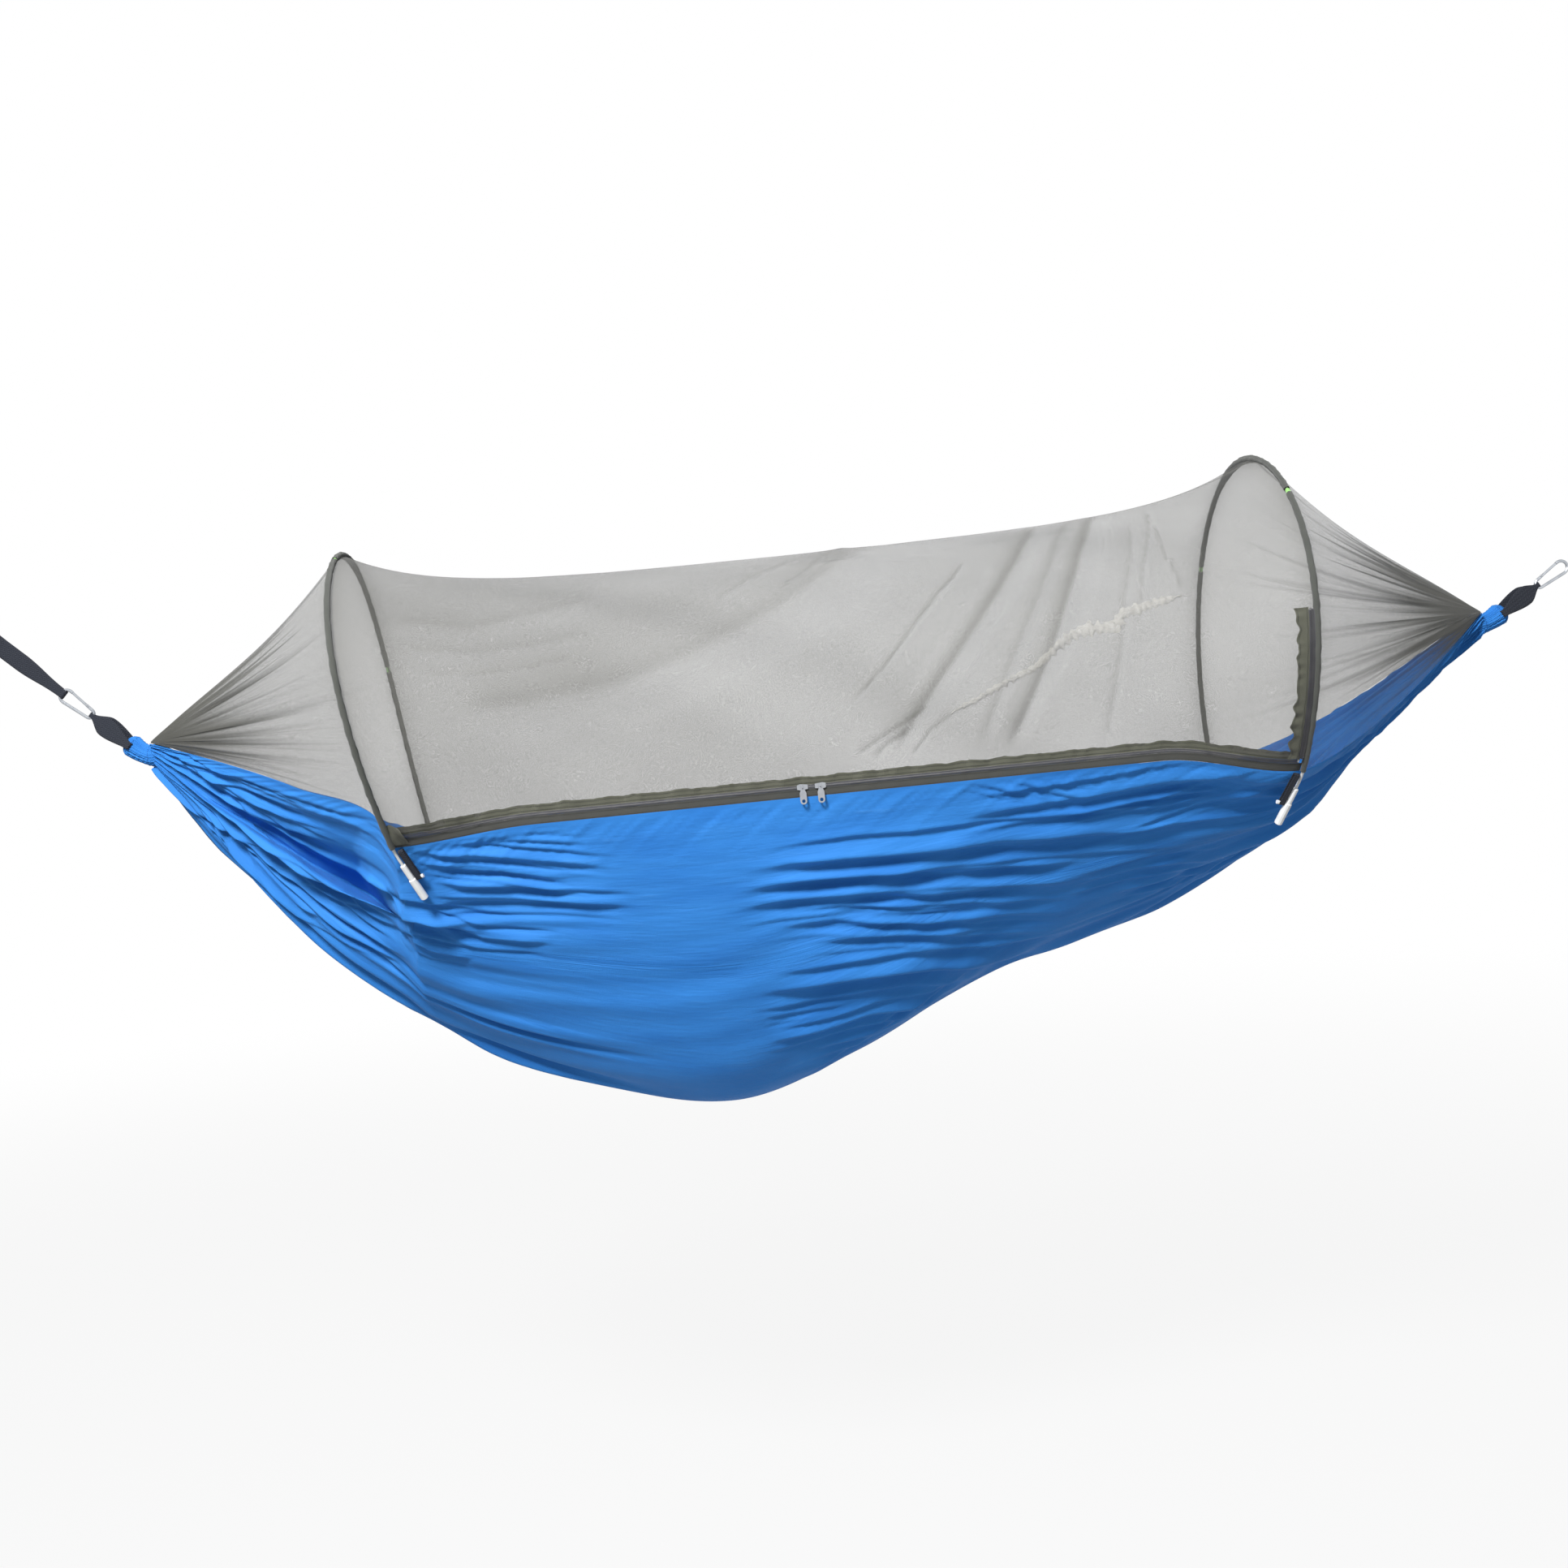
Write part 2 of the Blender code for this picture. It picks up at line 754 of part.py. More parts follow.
def make_elastic(side, label):
    # A flat loop round the peg, sewn to the corner of the bed by its other end.
    across = -1 if label == "near" else 1
    hoop = side.hoop
    way = fitting_way(hoop, across)
    mouth = rod_end(hoop, across)[-1]
    frame = about(mouth, peg_way(side, way), -way)
    shoulder = fitting_length * fitting_shoulder_share
    middle = (fitting_foot_radius + peg_length - peg_radius / 2) / 2
    peg_centre = frame @ Vector((middle, 0, -shoulder - peg_radius))
    peg_axis = frame.to_3x3() @ Vector((1, 0, 0))
    ring = peg_radius + clearance + elastic_thickness / 2
    corner = edge_at(hoop.side * leg_reach(hoop, across), across)
    stand_off = bed_thickness / 2 + clearance + ring + elastic_thickness / 2
    corner_y = corner.y + across * stand_off
    corner_z = corner.z - 2 * ring
    up = Vector((0, corner_y - peg_centre.y, corner_z - peg_centre.z))
    up.x = -peg_axis.dot(up) / peg_axis.x
    placed = about(peg_centre, up, peg_axis)
    length = up.length

    def loop(extra):
        return belt([
            (Vector((0, 0)), ring + extra),
            (Vector((length, 0)), ring + extra),
        ])

    half = elastic_thickness / 2
    return outline(
        "elastic_loop_%s_%s" % (side.name, label), [loop(half), loop(-half)],
        elastic_width / 2, black_webbing, placed,
    )


# Net

tooth_line = net_rim_gap + lower_tape_height + clearance + tooth_row_height + tooth_slit / 2
band_height = tooth_line + tooth_slit / 2 + tooth_row_height + clearance + upper_tape_height + net_rim_gap


def zip_point(x, height):
    # A point of the zip band, upright in the middle and leaning with the hoop at its ends.
    hoop = side_of(x).hoop
    lean = blend_step(foot_share(x, -1)) * height
    out = 2 * (hoop.half_width - hoop.foot_half_width) / hoop.shoulder
    along = hoop.side * 2 * hoop.lean / (hoop.shoulder + hoop.crown)
    return edge_at(x, -1) + Vector((along * lean, -out * lean, height))


def pulled_in(point, amount):
    # Draws a point of the net toward the line inside it, as taut cloth necks between hoops.
    centre = Vector((point.x, 0, edge_height + bed_half_width * net_pull_height_share))
    return point.lerp(centre, amount)


def rim_hold(t):
    # 1 on the rim of the net, 0 from rim_hold_share of its width on.
    return max(0.0, 1 - t / rim_hold_share) ** rim_hold_power


def net_edge_offset():
    return sleeve_radius + 2 * clearance + net_thickness / 2


def make_centre_net():
    start = even_points(hoop_line(left_hoop, band_height, net_rim_gap), net_strips + 1)
    end = even_points(hoop_line(right_hoop, band_height, net_rim_gap), net_strips + 1)
    rims = [[point.x for point in edge_rims[across][left_foot_row:right_foot_row + 1]] for across in (-1, 1)]
    rows = []
    last = len(rims[0]) - 1
    for i, (near_x, far_x) in enumerate(zip(*rims)):
        s = (near_x - rims[0][0]) / (rims[0][-1] - rims[0][0])
        off = net_edge_offset() * ((i == 0) - (i == last))
        offset = Vector((off, 0, 0))
        span = [one.lerp(two, s) + offset for one, two in zip(start, end)]
        near = zip_point(near_x + off, band_height) - span[0]
        far = edge_at(far_x + off, 1) + Vector((0, 0, net_rim_gap)) - span[-1]
        row = []
        for k, point in enumerate(span):
            t = k / net_strips
            held = near * rim_hold(t) + far * rim_hold(1 - t)
            from_hoop = min(point.x - start[k].x, end[k].x - point.x) - net_edge_offset()
            neck = net_neck_share * (1 - math.exp(-max(from_hoop, 0.0) / crown_fade))
            row.append(pulled_in(point + held, neck * math.sin(math.pi * t) ** net_neck_power))
        rows.append(row)
    return sheet("net_centre", rows, net_thickness, grey_net)


def make_cone_net(side):
    # The net from a hoop to the neck, where its rims lie on the bed's edges.
    start = even_points(hoop_line(side.hoop, net_rim_gap, net_rim_gap), net_strips + 1)
    apex = side.sign * (bed_half_span - net_apex_set_in)
    half = abs(edge_at(apex, 1).y)
    base = edge_at(apex, 1).z + net_rim_gap
    rows = []
    for i in range(cone_stations + 1):
        share = (i / cone_stations) ** cone_station_power
        off = side.sign * net_edge_offset() * (i == 0)
        row = []
        for k, point in enumerate(start):
            t = k / net_strips
            angle = math.pi * t
            foot = leg_reach(side.hoop, 2 * t - 1)
            s = min(share * (bed_half_span - foot) / (abs(apex) - foot), 1.0)
            end = Vector((apex, -half * math.cos(angle), base + net_apex_height * math.sin(angle)))
            place = point.lerp(end, s) + Vector((off, 0, 0))
            across = -1 if t < 0.5 else 1
            leg, tip = start[0 if across < 0 else -1], Vector((apex, across * half, base))
            rim = leg.lerp(tip, s) + Vector((off, 0, 0))
            hold = edge_at(rim.x, across) + Vector((0, 0, net_rim_gap)) - rim
            place += hold * abs(2 * t - 1) ** cone_hold_power
            hollow = cone_hollow_share * math.sin(math.pi * s) * math.sin(angle)
            place = pulled_in(place, hollow)
            wave = math.cos(math.tau * cone_folds * t) * math.sin(angle) * math.sin(math.pi * s) * s
            place.z += net_fold_depth * wave
            row.append(place)
        rows.append(row)
    return sheet("net_cone_%s" % side.name, rows, net_thickness, grey_net)


# Zip

def band(name, low, high, thickness, material, end_gap):
    # A strip of the zip band between two heights over the bed's near edge.
    ends = (zip_end(left, end_gap), zip_end(right, end_gap))
    places = [point.x for point in edge_rims[-1] if ends[0] < point.x < ends[1]]
    straight = [x for x in places if abs(x) < edge_straight_half - clearance]
    places = [ends[0]] + [x for x in places if x not in straight] + [ends[1]]
    rows = [[zip_point(x, low), zip_point(x, high)] for x in places]
    return sheet(name, rows, thickness, material)


def zip_end(side, end_gap):
    return side.sign * (leg_reach(side.hoop, -1) - sleeve_radius - end_gap)


def make_zip_band():
    teeth_gap = band_end_gap + stop_length + 2 * clearance
    level = net_rim_gap
    band("zip_tape_lower", level, level + lower_tape_height, tape_thickness, tape_cloth, band_end_gap)
    level += lower_tape_height + clearance
    band("zip_teeth_lower", level, level + tooth_row_height, tooth_thickness, tooth_plastic, teeth_gap)
    level += tooth_row_height + tooth_slit
    band("zip_teeth_upper", level, level + tooth_row_height, tooth_thickness, tooth_plastic, teeth_gap)
    level += tooth_row_height + clearance
    band("zip_tape_upper", level, level + upper_tape_height, tape_thickness, tape_cloth, band_end_gap)


def make_slider(label, sign):
    # Two plates joined by a thin web that runs in the slit between the rows of teeth.
    name = "zip_slider_%s" % label
    x = slider_meeting + sign * slider_spacing / 2
    inner = tooth_thickness / 2 + clearance
    centre = Vector((x, -bed_half_width, edge_height + tooth_line))
    placed = about(centre, Vector((sign, 0, 0)), Vector((0, -1, 0)))
    tail, nose, half = -slider_length / 2, slider_length / 2, slider_height / 2
    waist = half * slider_waist_share
    shape = [
        Vector((tail, -waist)), Vector((nose - half, -half)), Vector((nose, -waist)),
        Vector((nose, waist)), Vector((nose - half, half)), Vector((tail, waist)),
    ]
    front = outline(name, [shape], slider_plate / 2, bright_metal)
    front.matrix_world = placed @ Matrix.Translation((0, 0, inner + slider_plate / 2))
    back = outline(name + "_back", [shape], slider_plate / 2, bright_metal)
    back.matrix_world = placed @ Matrix.Translation((0, 0, -inner - slider_plate / 2))
    depth = 2 * inner + slider_plate
    web = box_cutter(name + "_web", (slider_web_length, slider_web, depth), placed)
    face = inner + slider_plate
    steps = 8
    arch = []
    for i in range(steps + 1):
        angle = math.pi * i / steps
        arch.append(Vector((0, -bail_half_height * math.cos(angle), face + bail_reach * math.sin(angle))))
    sunk = Vector((0, 0, -slider_plate / 2))
    arch = [arch[0] + sunk] + arch + [arch[-1] + sunk]
    bail = rod(name + "_bail", arch, bail_radius, bright_metal)
    bail.matrix_world = placed
    for piece in (back, web, bail):
        if piece is not web:
            make_cutter(piece)
        apply_boolean(front, piece, "UNION")
    bpy.context.view_layer.update()
    return front, placed


def make_pull_tab(label, sign, placed):
    # A flat tab whose top bar hangs in the bail, with a window round it and a finger hole.
    name = "pull_tab_%s" % label
    face = tooth_thickness / 2 + clearance + slider_plate
    axis_out = face + bail_reach - 2 * bail_radius - tab_thickness / 2
    pivot = placed @ Vector((0, 0, axis_out))
    half = tab_width / 2
    top = tab_bar / 2
    window_top = -tab_bar / 2
    window_bottom = window_top - tab_window_height
    shoulder_half = tab_window_width / 2 + tab_bar
    end = -tab_length + half
    steps = 8
    shape = [Vector((shoulder_half, top)), Vector((-shoulder_half, top)),
             Vector((-shoulder_half, window_bottom)), Vector((-half, window_bottom - half))]
    for i in range(steps + 1):
        angle = math.pi + math.pi * i / steps
        shape.append(Vector((half * math.cos(angle), end + half * math.sin(angle))))
    shape += [Vector((half, window_bottom - half)), Vector((shoulder_half, window_bottom))]
    window_half = tab_window_width / 2
    window = [Vector((-window_half, window_bottom)), Vector((window_half, window_bottom)),
              Vector((window_half, window_top)), Vector((-window_half, window_top))]
    turns = 12
    hole = [
        Vector((math.cos(math.tau * i / turns), math.sin(math.tau * i / turns))) * tab_hole_radius
        + Vector((0, end))
        for i in range(turns)
    ]
    flat = about(pivot, Vector((1, 0, 0)), Vector((0, -1, 0)))
    return outline(name, [shape, window, hole], tab_thickness / 2, bright_metal, flat)


def make_zip_stop(side):
    # A folded clip at the end of the teeth.
    name = "zip_stop_%s" % side.name
    x = zip_end(side, band_end_gap + clearance + stop_length / 2)
    size = (2 * tooth_row_height + tooth_slit, tooth_thickness + 2 * stop_wall, stop_length)
    upward = zip_point(x, 2 * tooth_line) - zip_point(x, tooth_line)
    along = zip_point(x, tooth_line) - zip_point(x / 2, tooth_line)

    def fill(shape):
        bmesh.ops.create_cube(shape, size=1.0, matrix=Matrix.Diagonal((*size, 1.0)))

    placed = about(zip_point(x, tooth_line), upward, along)
    stop = add_object(name, mesh_from(name, fill), bright_metal, placed)
    edge = stop.modifiers.new("edge", "BEVEL")
    edge.width = stop_wall / 2
    edge.segments = 2
    return stop


def make_zip_leg():
    # The zip that climbs the near leg of the right hoop, lying on the outside of the net.
    hoop = right_hoop
    steps = 8
    made = []
    lift = (net_thickness + tape_thickness) / 2 + clearance
    inner = sleeve_radius + 2 * clearance
    widths = (
        ("zip_leg_teeth", inner, inner + zip_leg_teeth, tooth_thickness, tooth_plastic),
        ("zip_leg_tape", inner + zip_leg_teeth + clearance,
         inner + zip_leg_teeth + clearance + zip_leg_tape, tape_thickness, tape_cloth),
    )
    line = hoop_line(hoop)
    for name, low, high, thickness, material in widths:
        rows = []
        for i in range(steps + 1):
            height = zip_leg_start + band_height / 2 + (zip_leg_top - zip_leg_start) * i / steps
            k = max(j for j in range(len(line) // 2) if line[j].z - hoop.foot_height <= height)
            share = (height + hoop.foot_height - line[k].z) / (line[k + 1].z - line[k].z)
            point = line[k].lerp(line[k + 1], share)
            way = (line[k + 1] - line[k]).normalized()
            outward = way.cross(Vector((1, 0, 0))).normalized()
            if outward.y > 0:
                outward.negate()
            out = outward * (lift + (thickness - tape_thickness) / 2)
            rows.append([point + out - Vector((low, 0, 0)), point + out - Vector((high, 0, 0))])
        made.append(sheet(name, rows, thickness, material))
    return made


# Suspension

def neck_centre(side):
    return Vector((side.sign * (bed_half_span + bed_thickness / 2), 0, neck_height - neck_rise / 2))


def pull_frame(side):
    # Local X runs out along the pull of the suspension and local Z stands up from it.
    outward = Vector((side.sign * math.cos(side.rise), 0, math.sin(side.rise)))
    upward = Vector((-side.sign * math.sin(side.rise), 0, math.cos(side.rise)))
    neck = neck_centre(side)
    bend = neck_length * channel_bend_share
    centre = neck + Vector((side.sign, 0, 0)) * bend + outward * (neck_length - bend)
    return about(centre, outward, upward)


def make_channel(side):
    # The pleated end channel: the bed's hem bunched on the webbing that runs through it.
    name = "end_channel_%s" % side.name
    placed = pull_frame(side)
    centre = placed.translation
    outward = placed.to_3x3() @ Vector((1, 0, 0))
    along = Vector((side.sign, 0, 0))
    neck = neck_centre(side)
    stations = 8
    ring = 4 * pleats
    rows = []
    for i in range(stations + 1):
        t = i / stations
        if t <= 0.5:
            u = 2 * t
            bend = neck + along * neck_length * channel_bend_share
            spot = neck.lerp(bend, u).lerp(bend.lerp(centre, u), u)
            heading = along.lerp(outward, u).normalized()
            swell = 1 - channel_waist_share * math.sin(math.pi * u)
        else:
            u = 2 * t - 1
            spot = centre + outward * channel_end * u
            heading = outward
            swell = math.sqrt(1 - (channel_round_share * u) ** 2)
        upward = Vector((0, 1, 0)).cross(heading)
        if upward.z < 0:
            upward.negate()
        row = []
        for k in range(ring):
            angle = math.tau * k / ring
            ripple = 1 + pleat_share * (math.cos(pleats * angle) - 1)
            row.append(
                spot
                + Vector((0, 1, 0)) * channel_half_width * swell * ripple * math.cos(angle)
                + upward * channel_half_height * swell * ripple * math.sin(angle)
            )
        rows.append(row)

    def fill(shape):
        loops = [[shape.verts.new(point) for point in row] for row in rows]
        for lower, upper in zip(loops, loops[1:]):
            for k in range(ring):
                n = (k + 1) % ring
                shape.faces.new((lower[k], lower[n], upper[n], upper[k]))
        shape.faces.new(loops[0])
        shape.faces.new(loops[-1])

    channel = smooth(add_object(name, mesh_from(name, fill), blue_nylon))
    slot = box_cutter(
        name + "_slot",
        (webbing_thickness + 2 * clearance, 4 * channel_half_width, webbing_neck_width + 2 * clearance),
        placed,
    )
    apply_boolean(channel, slot)
    return channel


def shape_width(thing, width_at):
    # Sets a flat band's width, along its own Z, from the place along its own X.
    for vertex in thing.data.vertices:
        side = 1 if vertex.co.z > 0 else -1
        vertex.co.z = side * width_at(vertex.co.x) / 2


def bow_contact():
    # The radius of a band's middle where it goes round the wire.
    return wire_radius + clearance + webbing_thickness / 2


def bow_seat(bow_radius, width):
    # How far in from a bow's centre line a band of some width stops against its curve.
    hollow = math.sqrt((bow_radius - wire_radius) ** 2 - (width / 2) ** 2)
    return bow_radius - hollow - wire_radius - clearance


def make_webbing(side):
    # A loop of webbing through the end channel and round the carabiner's narrow bow.
    name = "webbing_loop_%s" % side.name
    spread = channel_half_width + webbing_corner
    far_end = webbing_length - bow_contact()

    def loop(extra):
        corner = webbing_corner + extra
        return belt([
            (Vector((webbing_corner, -spread + webbing_corner)), corner),
            (Vector((far_end, 0)), bow_contact() + extra),
            (Vector((webbing_corner, spread - webbing_corner)), corner),
        ], run_steps=10)

    half = webbing_thickness / 2
    thing = outline(name, [loop(half), loop(-half)], webbing_neck_width / 2, black_webbing)
    knots = (
        (webbing_corner, webbing_neck_width), (webbing_length * leaf_share, webbing_leaf_width),
        (webbing_length - 2 * bow_contact(), webbing_bow_width), (webbing_length, webbing_bow_width),
    )
    shape_width(thing, lambda place: smooth_value(knots, place))
    thing.matrix_world = pull_frame(side)
    return thing


def narrow_bow_middle():
    # The carabiner's narrow bow bears on the webbing at its outer end.
    seat = bow_seat(narrow_bow_radius, webbing_bow_width)
    return webbing_length - bow_contact() - seat + narrow_bow_radius


def wide_bow_inside():
    # The middle of the strap's bight in the carabiner's wide bow.
    seat = bow_seat(wide_bow_radius, strap_bow_width)
    return narrow_bow_middle() + bow_spacing + wide_bow_radius - seat


def arc_points(centre, radius, start, end, steps):
    return [
        centre + Vector((math.cos(angle), math.sin(angle))) * radius
        for angle in (start + (end - start) * i / steps for i in range(steps + 1))
    ]


def carabiner_path():
    # The body's centre line in the carabiner's plane, from the gate's hinge round to its nose.
    narrow = Vector((narrow_bow_middle(), 0))
    wide = Vector((narrow.x + bow_spacing, 0))
    tilt = math.asin((wide_bow_radius - narrow_bow_radius) / bow_spacing)
    along = Vector((math.cos(tilt), math.sin(tilt)))
    up = Vector((-along.y, along.x))
    hinge = narrow + up * narrow_bow_radius + along * hinge_setback
    nose = wide + up * wide_bow_radius - along * nose_setback
    quarter = math.pi / 2 + tilt
    path = [hinge + along * wire_radius * hinge_end_share]
    path += arc_points(narrow, narrow_bow_radius, quarter, math.tau - quarter, 10)
    path += arc_points(wide, wide_bow_radius, -quarter, quarter, 14)
    return path + [nose], hinge, nose, along, up


def make_carabiner(side):
    placed = pull_frame(side)
    path, hinge, nose, along, up = carabiner_path()
    flat = placed @ Matrix(((1, 0, 0, 0), (0, 0, -1, 0), (0, 1, 0, 0), (0, 0, 0, 1)))
    centre_line = [Vector((p.x, p.y, 0)) for p in path]
    name = "carabiner_%s" % side.name
    body = rod(name, centre_line, wire_radius, bright_metal, resolution=3)
    body.matrix_world = flat
    cheek = wire_radius
    along3, up3 = Vector((along.x, along.y, 0)), Vector((up.x, up.y, 0))
    square = about(Vector((hinge.x, hinge.y, 0)), along3, up3)
    for sign in (-1, 1):
        off = square @ Matrix.Translation((0, sign * (hinge_tongue + cheek) / 2, 0))
        cut = box_cutter(
            name + ("_cheek_%d" % (sign + 1)),
            (2 * wire_radius + cut_overrun, cheek, 3 * wire_radius), flat @ off,
        )
        apply_boolean(body, cut)
    hole_turn = square @ Matrix.Rotation(math.pi / 2, 4, "X")
    pin_place = hole_turn
    bore = round_cutter(name + "_bore", hinge_pin_radius + clearance, 4 * wire_radius, flat @ pin_place)
    apply_boolean(body, bore)

    gate_name = "carabiner_gate_%s" % side.name
    gate_start = hinge - along * (gate_radius - clearance)
    gate_end = nose - along * clearance
    gate = rod(gate_name, [Vector((p.x, p.y, 0)) for p in (gate_start, gate_end)], gate_radius,
               bright_metal, resolution=3)
    gate.matrix_world = flat
    slot = box_cutter(
        gate_name + "_slot", (4 * wire_radius, hinge_tongue + 2 * clearance, 3 * wire_radius), flat @ square)
    apply_boolean(gate, slot)
    gate_bore = round_cutter(gate_name + "_bore", hinge_pin_radius + clearance, 4 * wire_radius, flat @ pin_place)
    apply_boolean(gate, gate_bore)

    pin_name = "carabiner_pin_%s" % side.name
    half = Vector((0, 0, gate_radius + clearance))
    pin = rod(pin_name, [-half, half], hinge_pin_radius, bright_metal)
    pin.matrix_world = flat @ pin_place
    bpy.context.view_layer.update()
    hinge_world = flat @ Vector((hinge.x, hinge.y, 0))
    return body, gate, pin, hinge_world


def anchor_place():
    # Where the outer eye of the strap bears, along the pull from the left channel.
    return wide_bow_inside() + strap_length


def eye_side(radius, length, tip):
    # One side of an eye, from its bow along the band to where it closes on the run.
    tilt = math.asin((radius - tip) / length)
    steps = 8
    points = []
    for i in range(steps + 1):
        angle = math.pi - (math.pi / 2 + tilt) * i / steps
        points.append(Vector((math.cos(angle), math.sin(angle))) * radius)
    last = points[-1] / radius
    closing = Vector((length, 0)) + last * tip
    points += [points[-1].lerp(closing, i / steps) for i in range(2, steps, 2)]
    return points + [closing]


def make_strap():
    # The tree strap, doubled and sewn, with an eye round the wide bow and one at the anchor.
    name = "tree_strap"
    wide_bow = wide_bow_inside()
    ring = bow_contact()
    half = webbing_thickness / 2
    end = anchor_place() + half - anchor_eye_radius
    bow_centre, anchor_centre = Vector((wide_bow, 0)), Vector((end, 0))

    def eyes(extra, tip):
        bow = [bow_centre + p for p in eye_side(ring + extra, strap_eye_length, tip)]
        anchor = eye_side(anchor_eye_radius + extra, anchor_eye_length, tip)
        return bow, [anchor_centre + Vector((-p.x, p.y)) for p in anchor[::-1]]

    def mirrored(points):
        return [Vector((p.x, -p.y)) for p in points[::-1]]

    bow_outer, anchor_outer = eyes(half, webbing_thickness)
    steps = 5
    run = [bow_outer[-1].lerp(anchor_outer[0], i / steps) for i in range(1, steps)]
    rim = bow_outer + run + anchor_outer
    loops = [rim + mirrored(rim)[1:-1]]
    for inner in eyes(-half, clearance / 2):
        whole = inner + mirrored(inner)
        loops.append([p for p, after in zip(whole, whole[1:] + whole[:1]) if (after - p).length > clearance / 30])
    strap = outline(name, loops, strap_width / 2, black_webbing)

    def width_at(place):
        t = (place - wide_bow) / strap_taper
        return strap_bow_width + (strap_width - strap_bow_width) * blend_step(t)

    shape_width(strap, width_at)
    strap.matrix_world = pull_frame(left)
    return strap


def new_empty(name, place=(0, 0, 0)):
    empty = bpy.data.objects.new(name, None)
    empty.location = place
    parts.objects.link(empty)
    return empty


def hang_from(parent, pieces):
    bpy.context.view_layer.update()
    for piece in pieces:
        placed = piece.matrix_world.copy()
        piece.parent = parent
        piece.matrix_parent_inverse = Matrix.Identity(4)
        piece.matrix_basis = parent.matrix_world.inverted() @ placed
    bpy.context.view_layer.update()


# The whole object

make_bed()
make_centre_net()
make_zip_band()
leg_pieces = make_zip_leg()
for side in sides:
    make_cone_net(side)
    hinge = new_empty("hoop_%s_hinge" % side.name, (side.hoop.side * side.hoop.foot_reach, 0, side.hoop.foot_height))
    hang_from(hinge, make_hoop(side) + (leg_pieces if side is right else []))
    for label in ("near", "far"):
        make_elastic(side, label)
    make_channel(side)
    make_webbing(side)
    body, gate, pin, hinge_world = make_carabiner(side)
    set_origin(gate, hinge_world)
    slider, placed = make_slider(side.name, side.sign)
    make_pull_tab(side.name, side.sign, placed)
    make_zip_stop(side)
make_strap()

# Every object hangs from the frame, which puts the anchor at the origin.
frame = new_empty("frame")
anchor = pull_frame(left) @ Vector((anchor_place(), 0, 0))
hang_from(frame, [
    thing for thing in list(parts.objects) + list(cutters.objects)
    if thing.parent is None and thing is not frame
])
frame.location = -anchor
bpy.context.view_layer.update()
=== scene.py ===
import math

import bpy
import numpy as np
from mathutils import Matrix, Vector


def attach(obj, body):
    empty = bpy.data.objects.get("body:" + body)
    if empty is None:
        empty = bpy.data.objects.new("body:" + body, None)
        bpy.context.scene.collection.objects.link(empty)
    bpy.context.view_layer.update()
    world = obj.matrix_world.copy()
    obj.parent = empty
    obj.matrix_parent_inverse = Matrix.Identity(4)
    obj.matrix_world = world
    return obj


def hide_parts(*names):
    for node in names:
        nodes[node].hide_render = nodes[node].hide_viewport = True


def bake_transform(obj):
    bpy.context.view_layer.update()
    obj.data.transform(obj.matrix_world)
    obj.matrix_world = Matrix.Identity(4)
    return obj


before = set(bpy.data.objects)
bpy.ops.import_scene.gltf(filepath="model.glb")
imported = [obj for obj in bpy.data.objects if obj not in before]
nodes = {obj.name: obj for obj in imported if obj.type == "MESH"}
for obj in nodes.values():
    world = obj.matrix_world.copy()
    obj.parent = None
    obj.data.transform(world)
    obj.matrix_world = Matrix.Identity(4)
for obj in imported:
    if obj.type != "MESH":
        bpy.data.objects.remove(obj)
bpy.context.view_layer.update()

bedMiddle = np.array((1.45421, 0.0, -0.45832))  # every piece is drawn about the middle of the bed

view = {
    "place": (1.25641, -2.9369, -0.36499), "yaw": 2.1091, "pitch": -0.9628, "roll": 5.7144,
    "lens": 38.588, "sensor": 36, "nearest": 0.05, "farthest": 60,
}


def addCamera():
    yaw, pitch, roll = (math.radians(view[k]) for k in ("yaw", "pitch", "roll"))
    ahead = Vector((math.sin(yaw) * math.cos(pitch), math.cos(yaw) * math.cos(pitch), math.sin(pitch)))
    flat = Vector((math.cos(yaw), -math.sin(yaw), 0))
    upright = flat.cross(ahead)
    right = flat * math.cos(roll) - upright * math.sin(roll)
    up = flat * math.sin(roll) + upright * math.cos(roll)
    data = bpy.data.cameras.new("studioCamera")
    data.lens, data.sensor_width = view["lens"], view["sensor"]
    data.clip_start, data.clip_end = view["nearest"], view["farthest"]
    camera = bpy.data.objects.new("studioCamera", data)
    turned = Matrix((right, up, -ahead)).transposed().to_4x4()
    camera.matrix_world = Matrix.Translation(view["place"]) @ turned
    bpy.context.scene.collection.objects.link(camera)
    bpy.context.scene.camera = camera


class Wire:
    # One node output that takes part in expressions.
    def __init__(self, look, socket):
        self.look, self.socket = look, socket

    def __add__(self, other): return self.look.math("ADD", self, other)
    def __radd__(self, other): return self.look.math("ADD", other, self)
    def __sub__(self, other): return self.look.math("SUBTRACT", self, other)
    def __rsub__(self, other): return self.look.math("SUBTRACT", other, self)
    def __mul__(self, other): return self.look.math("MULTIPLY", self, other)
    def __rmul__(self, other): return self.look.math("MULTIPLY", other, self)
    def __truediv__(self, other): return self.look.math("DIVIDE", self, other)
    def __rtruediv__(self, other): return self.look.math("DIVIDE", other, self)
    def __mod__(self, other): return self.look.math("FLOORED_MODULO", self, other)
    def __rmod__(self, other): return self.look.math("FLOORED_MODULO", other, self)
    def sine(self): return self.look.math("SINE", self)
    def size(self): return self.look.math("ABSOLUTE", self)
    def most(self, other): return self.look.math("MAXIMUM", self, other)
    def least(self, other): return self.look.math("MINIMUM", self, other)

    def step(self, low, high):
        sockets = {0: self, 1: low, 2: high, 3: 0.0, 4: 1.0}
        return self.look.node("ShaderNodeMapRange", {"interpolation_type": "SMOOTHSTEP"}, sockets)[0]


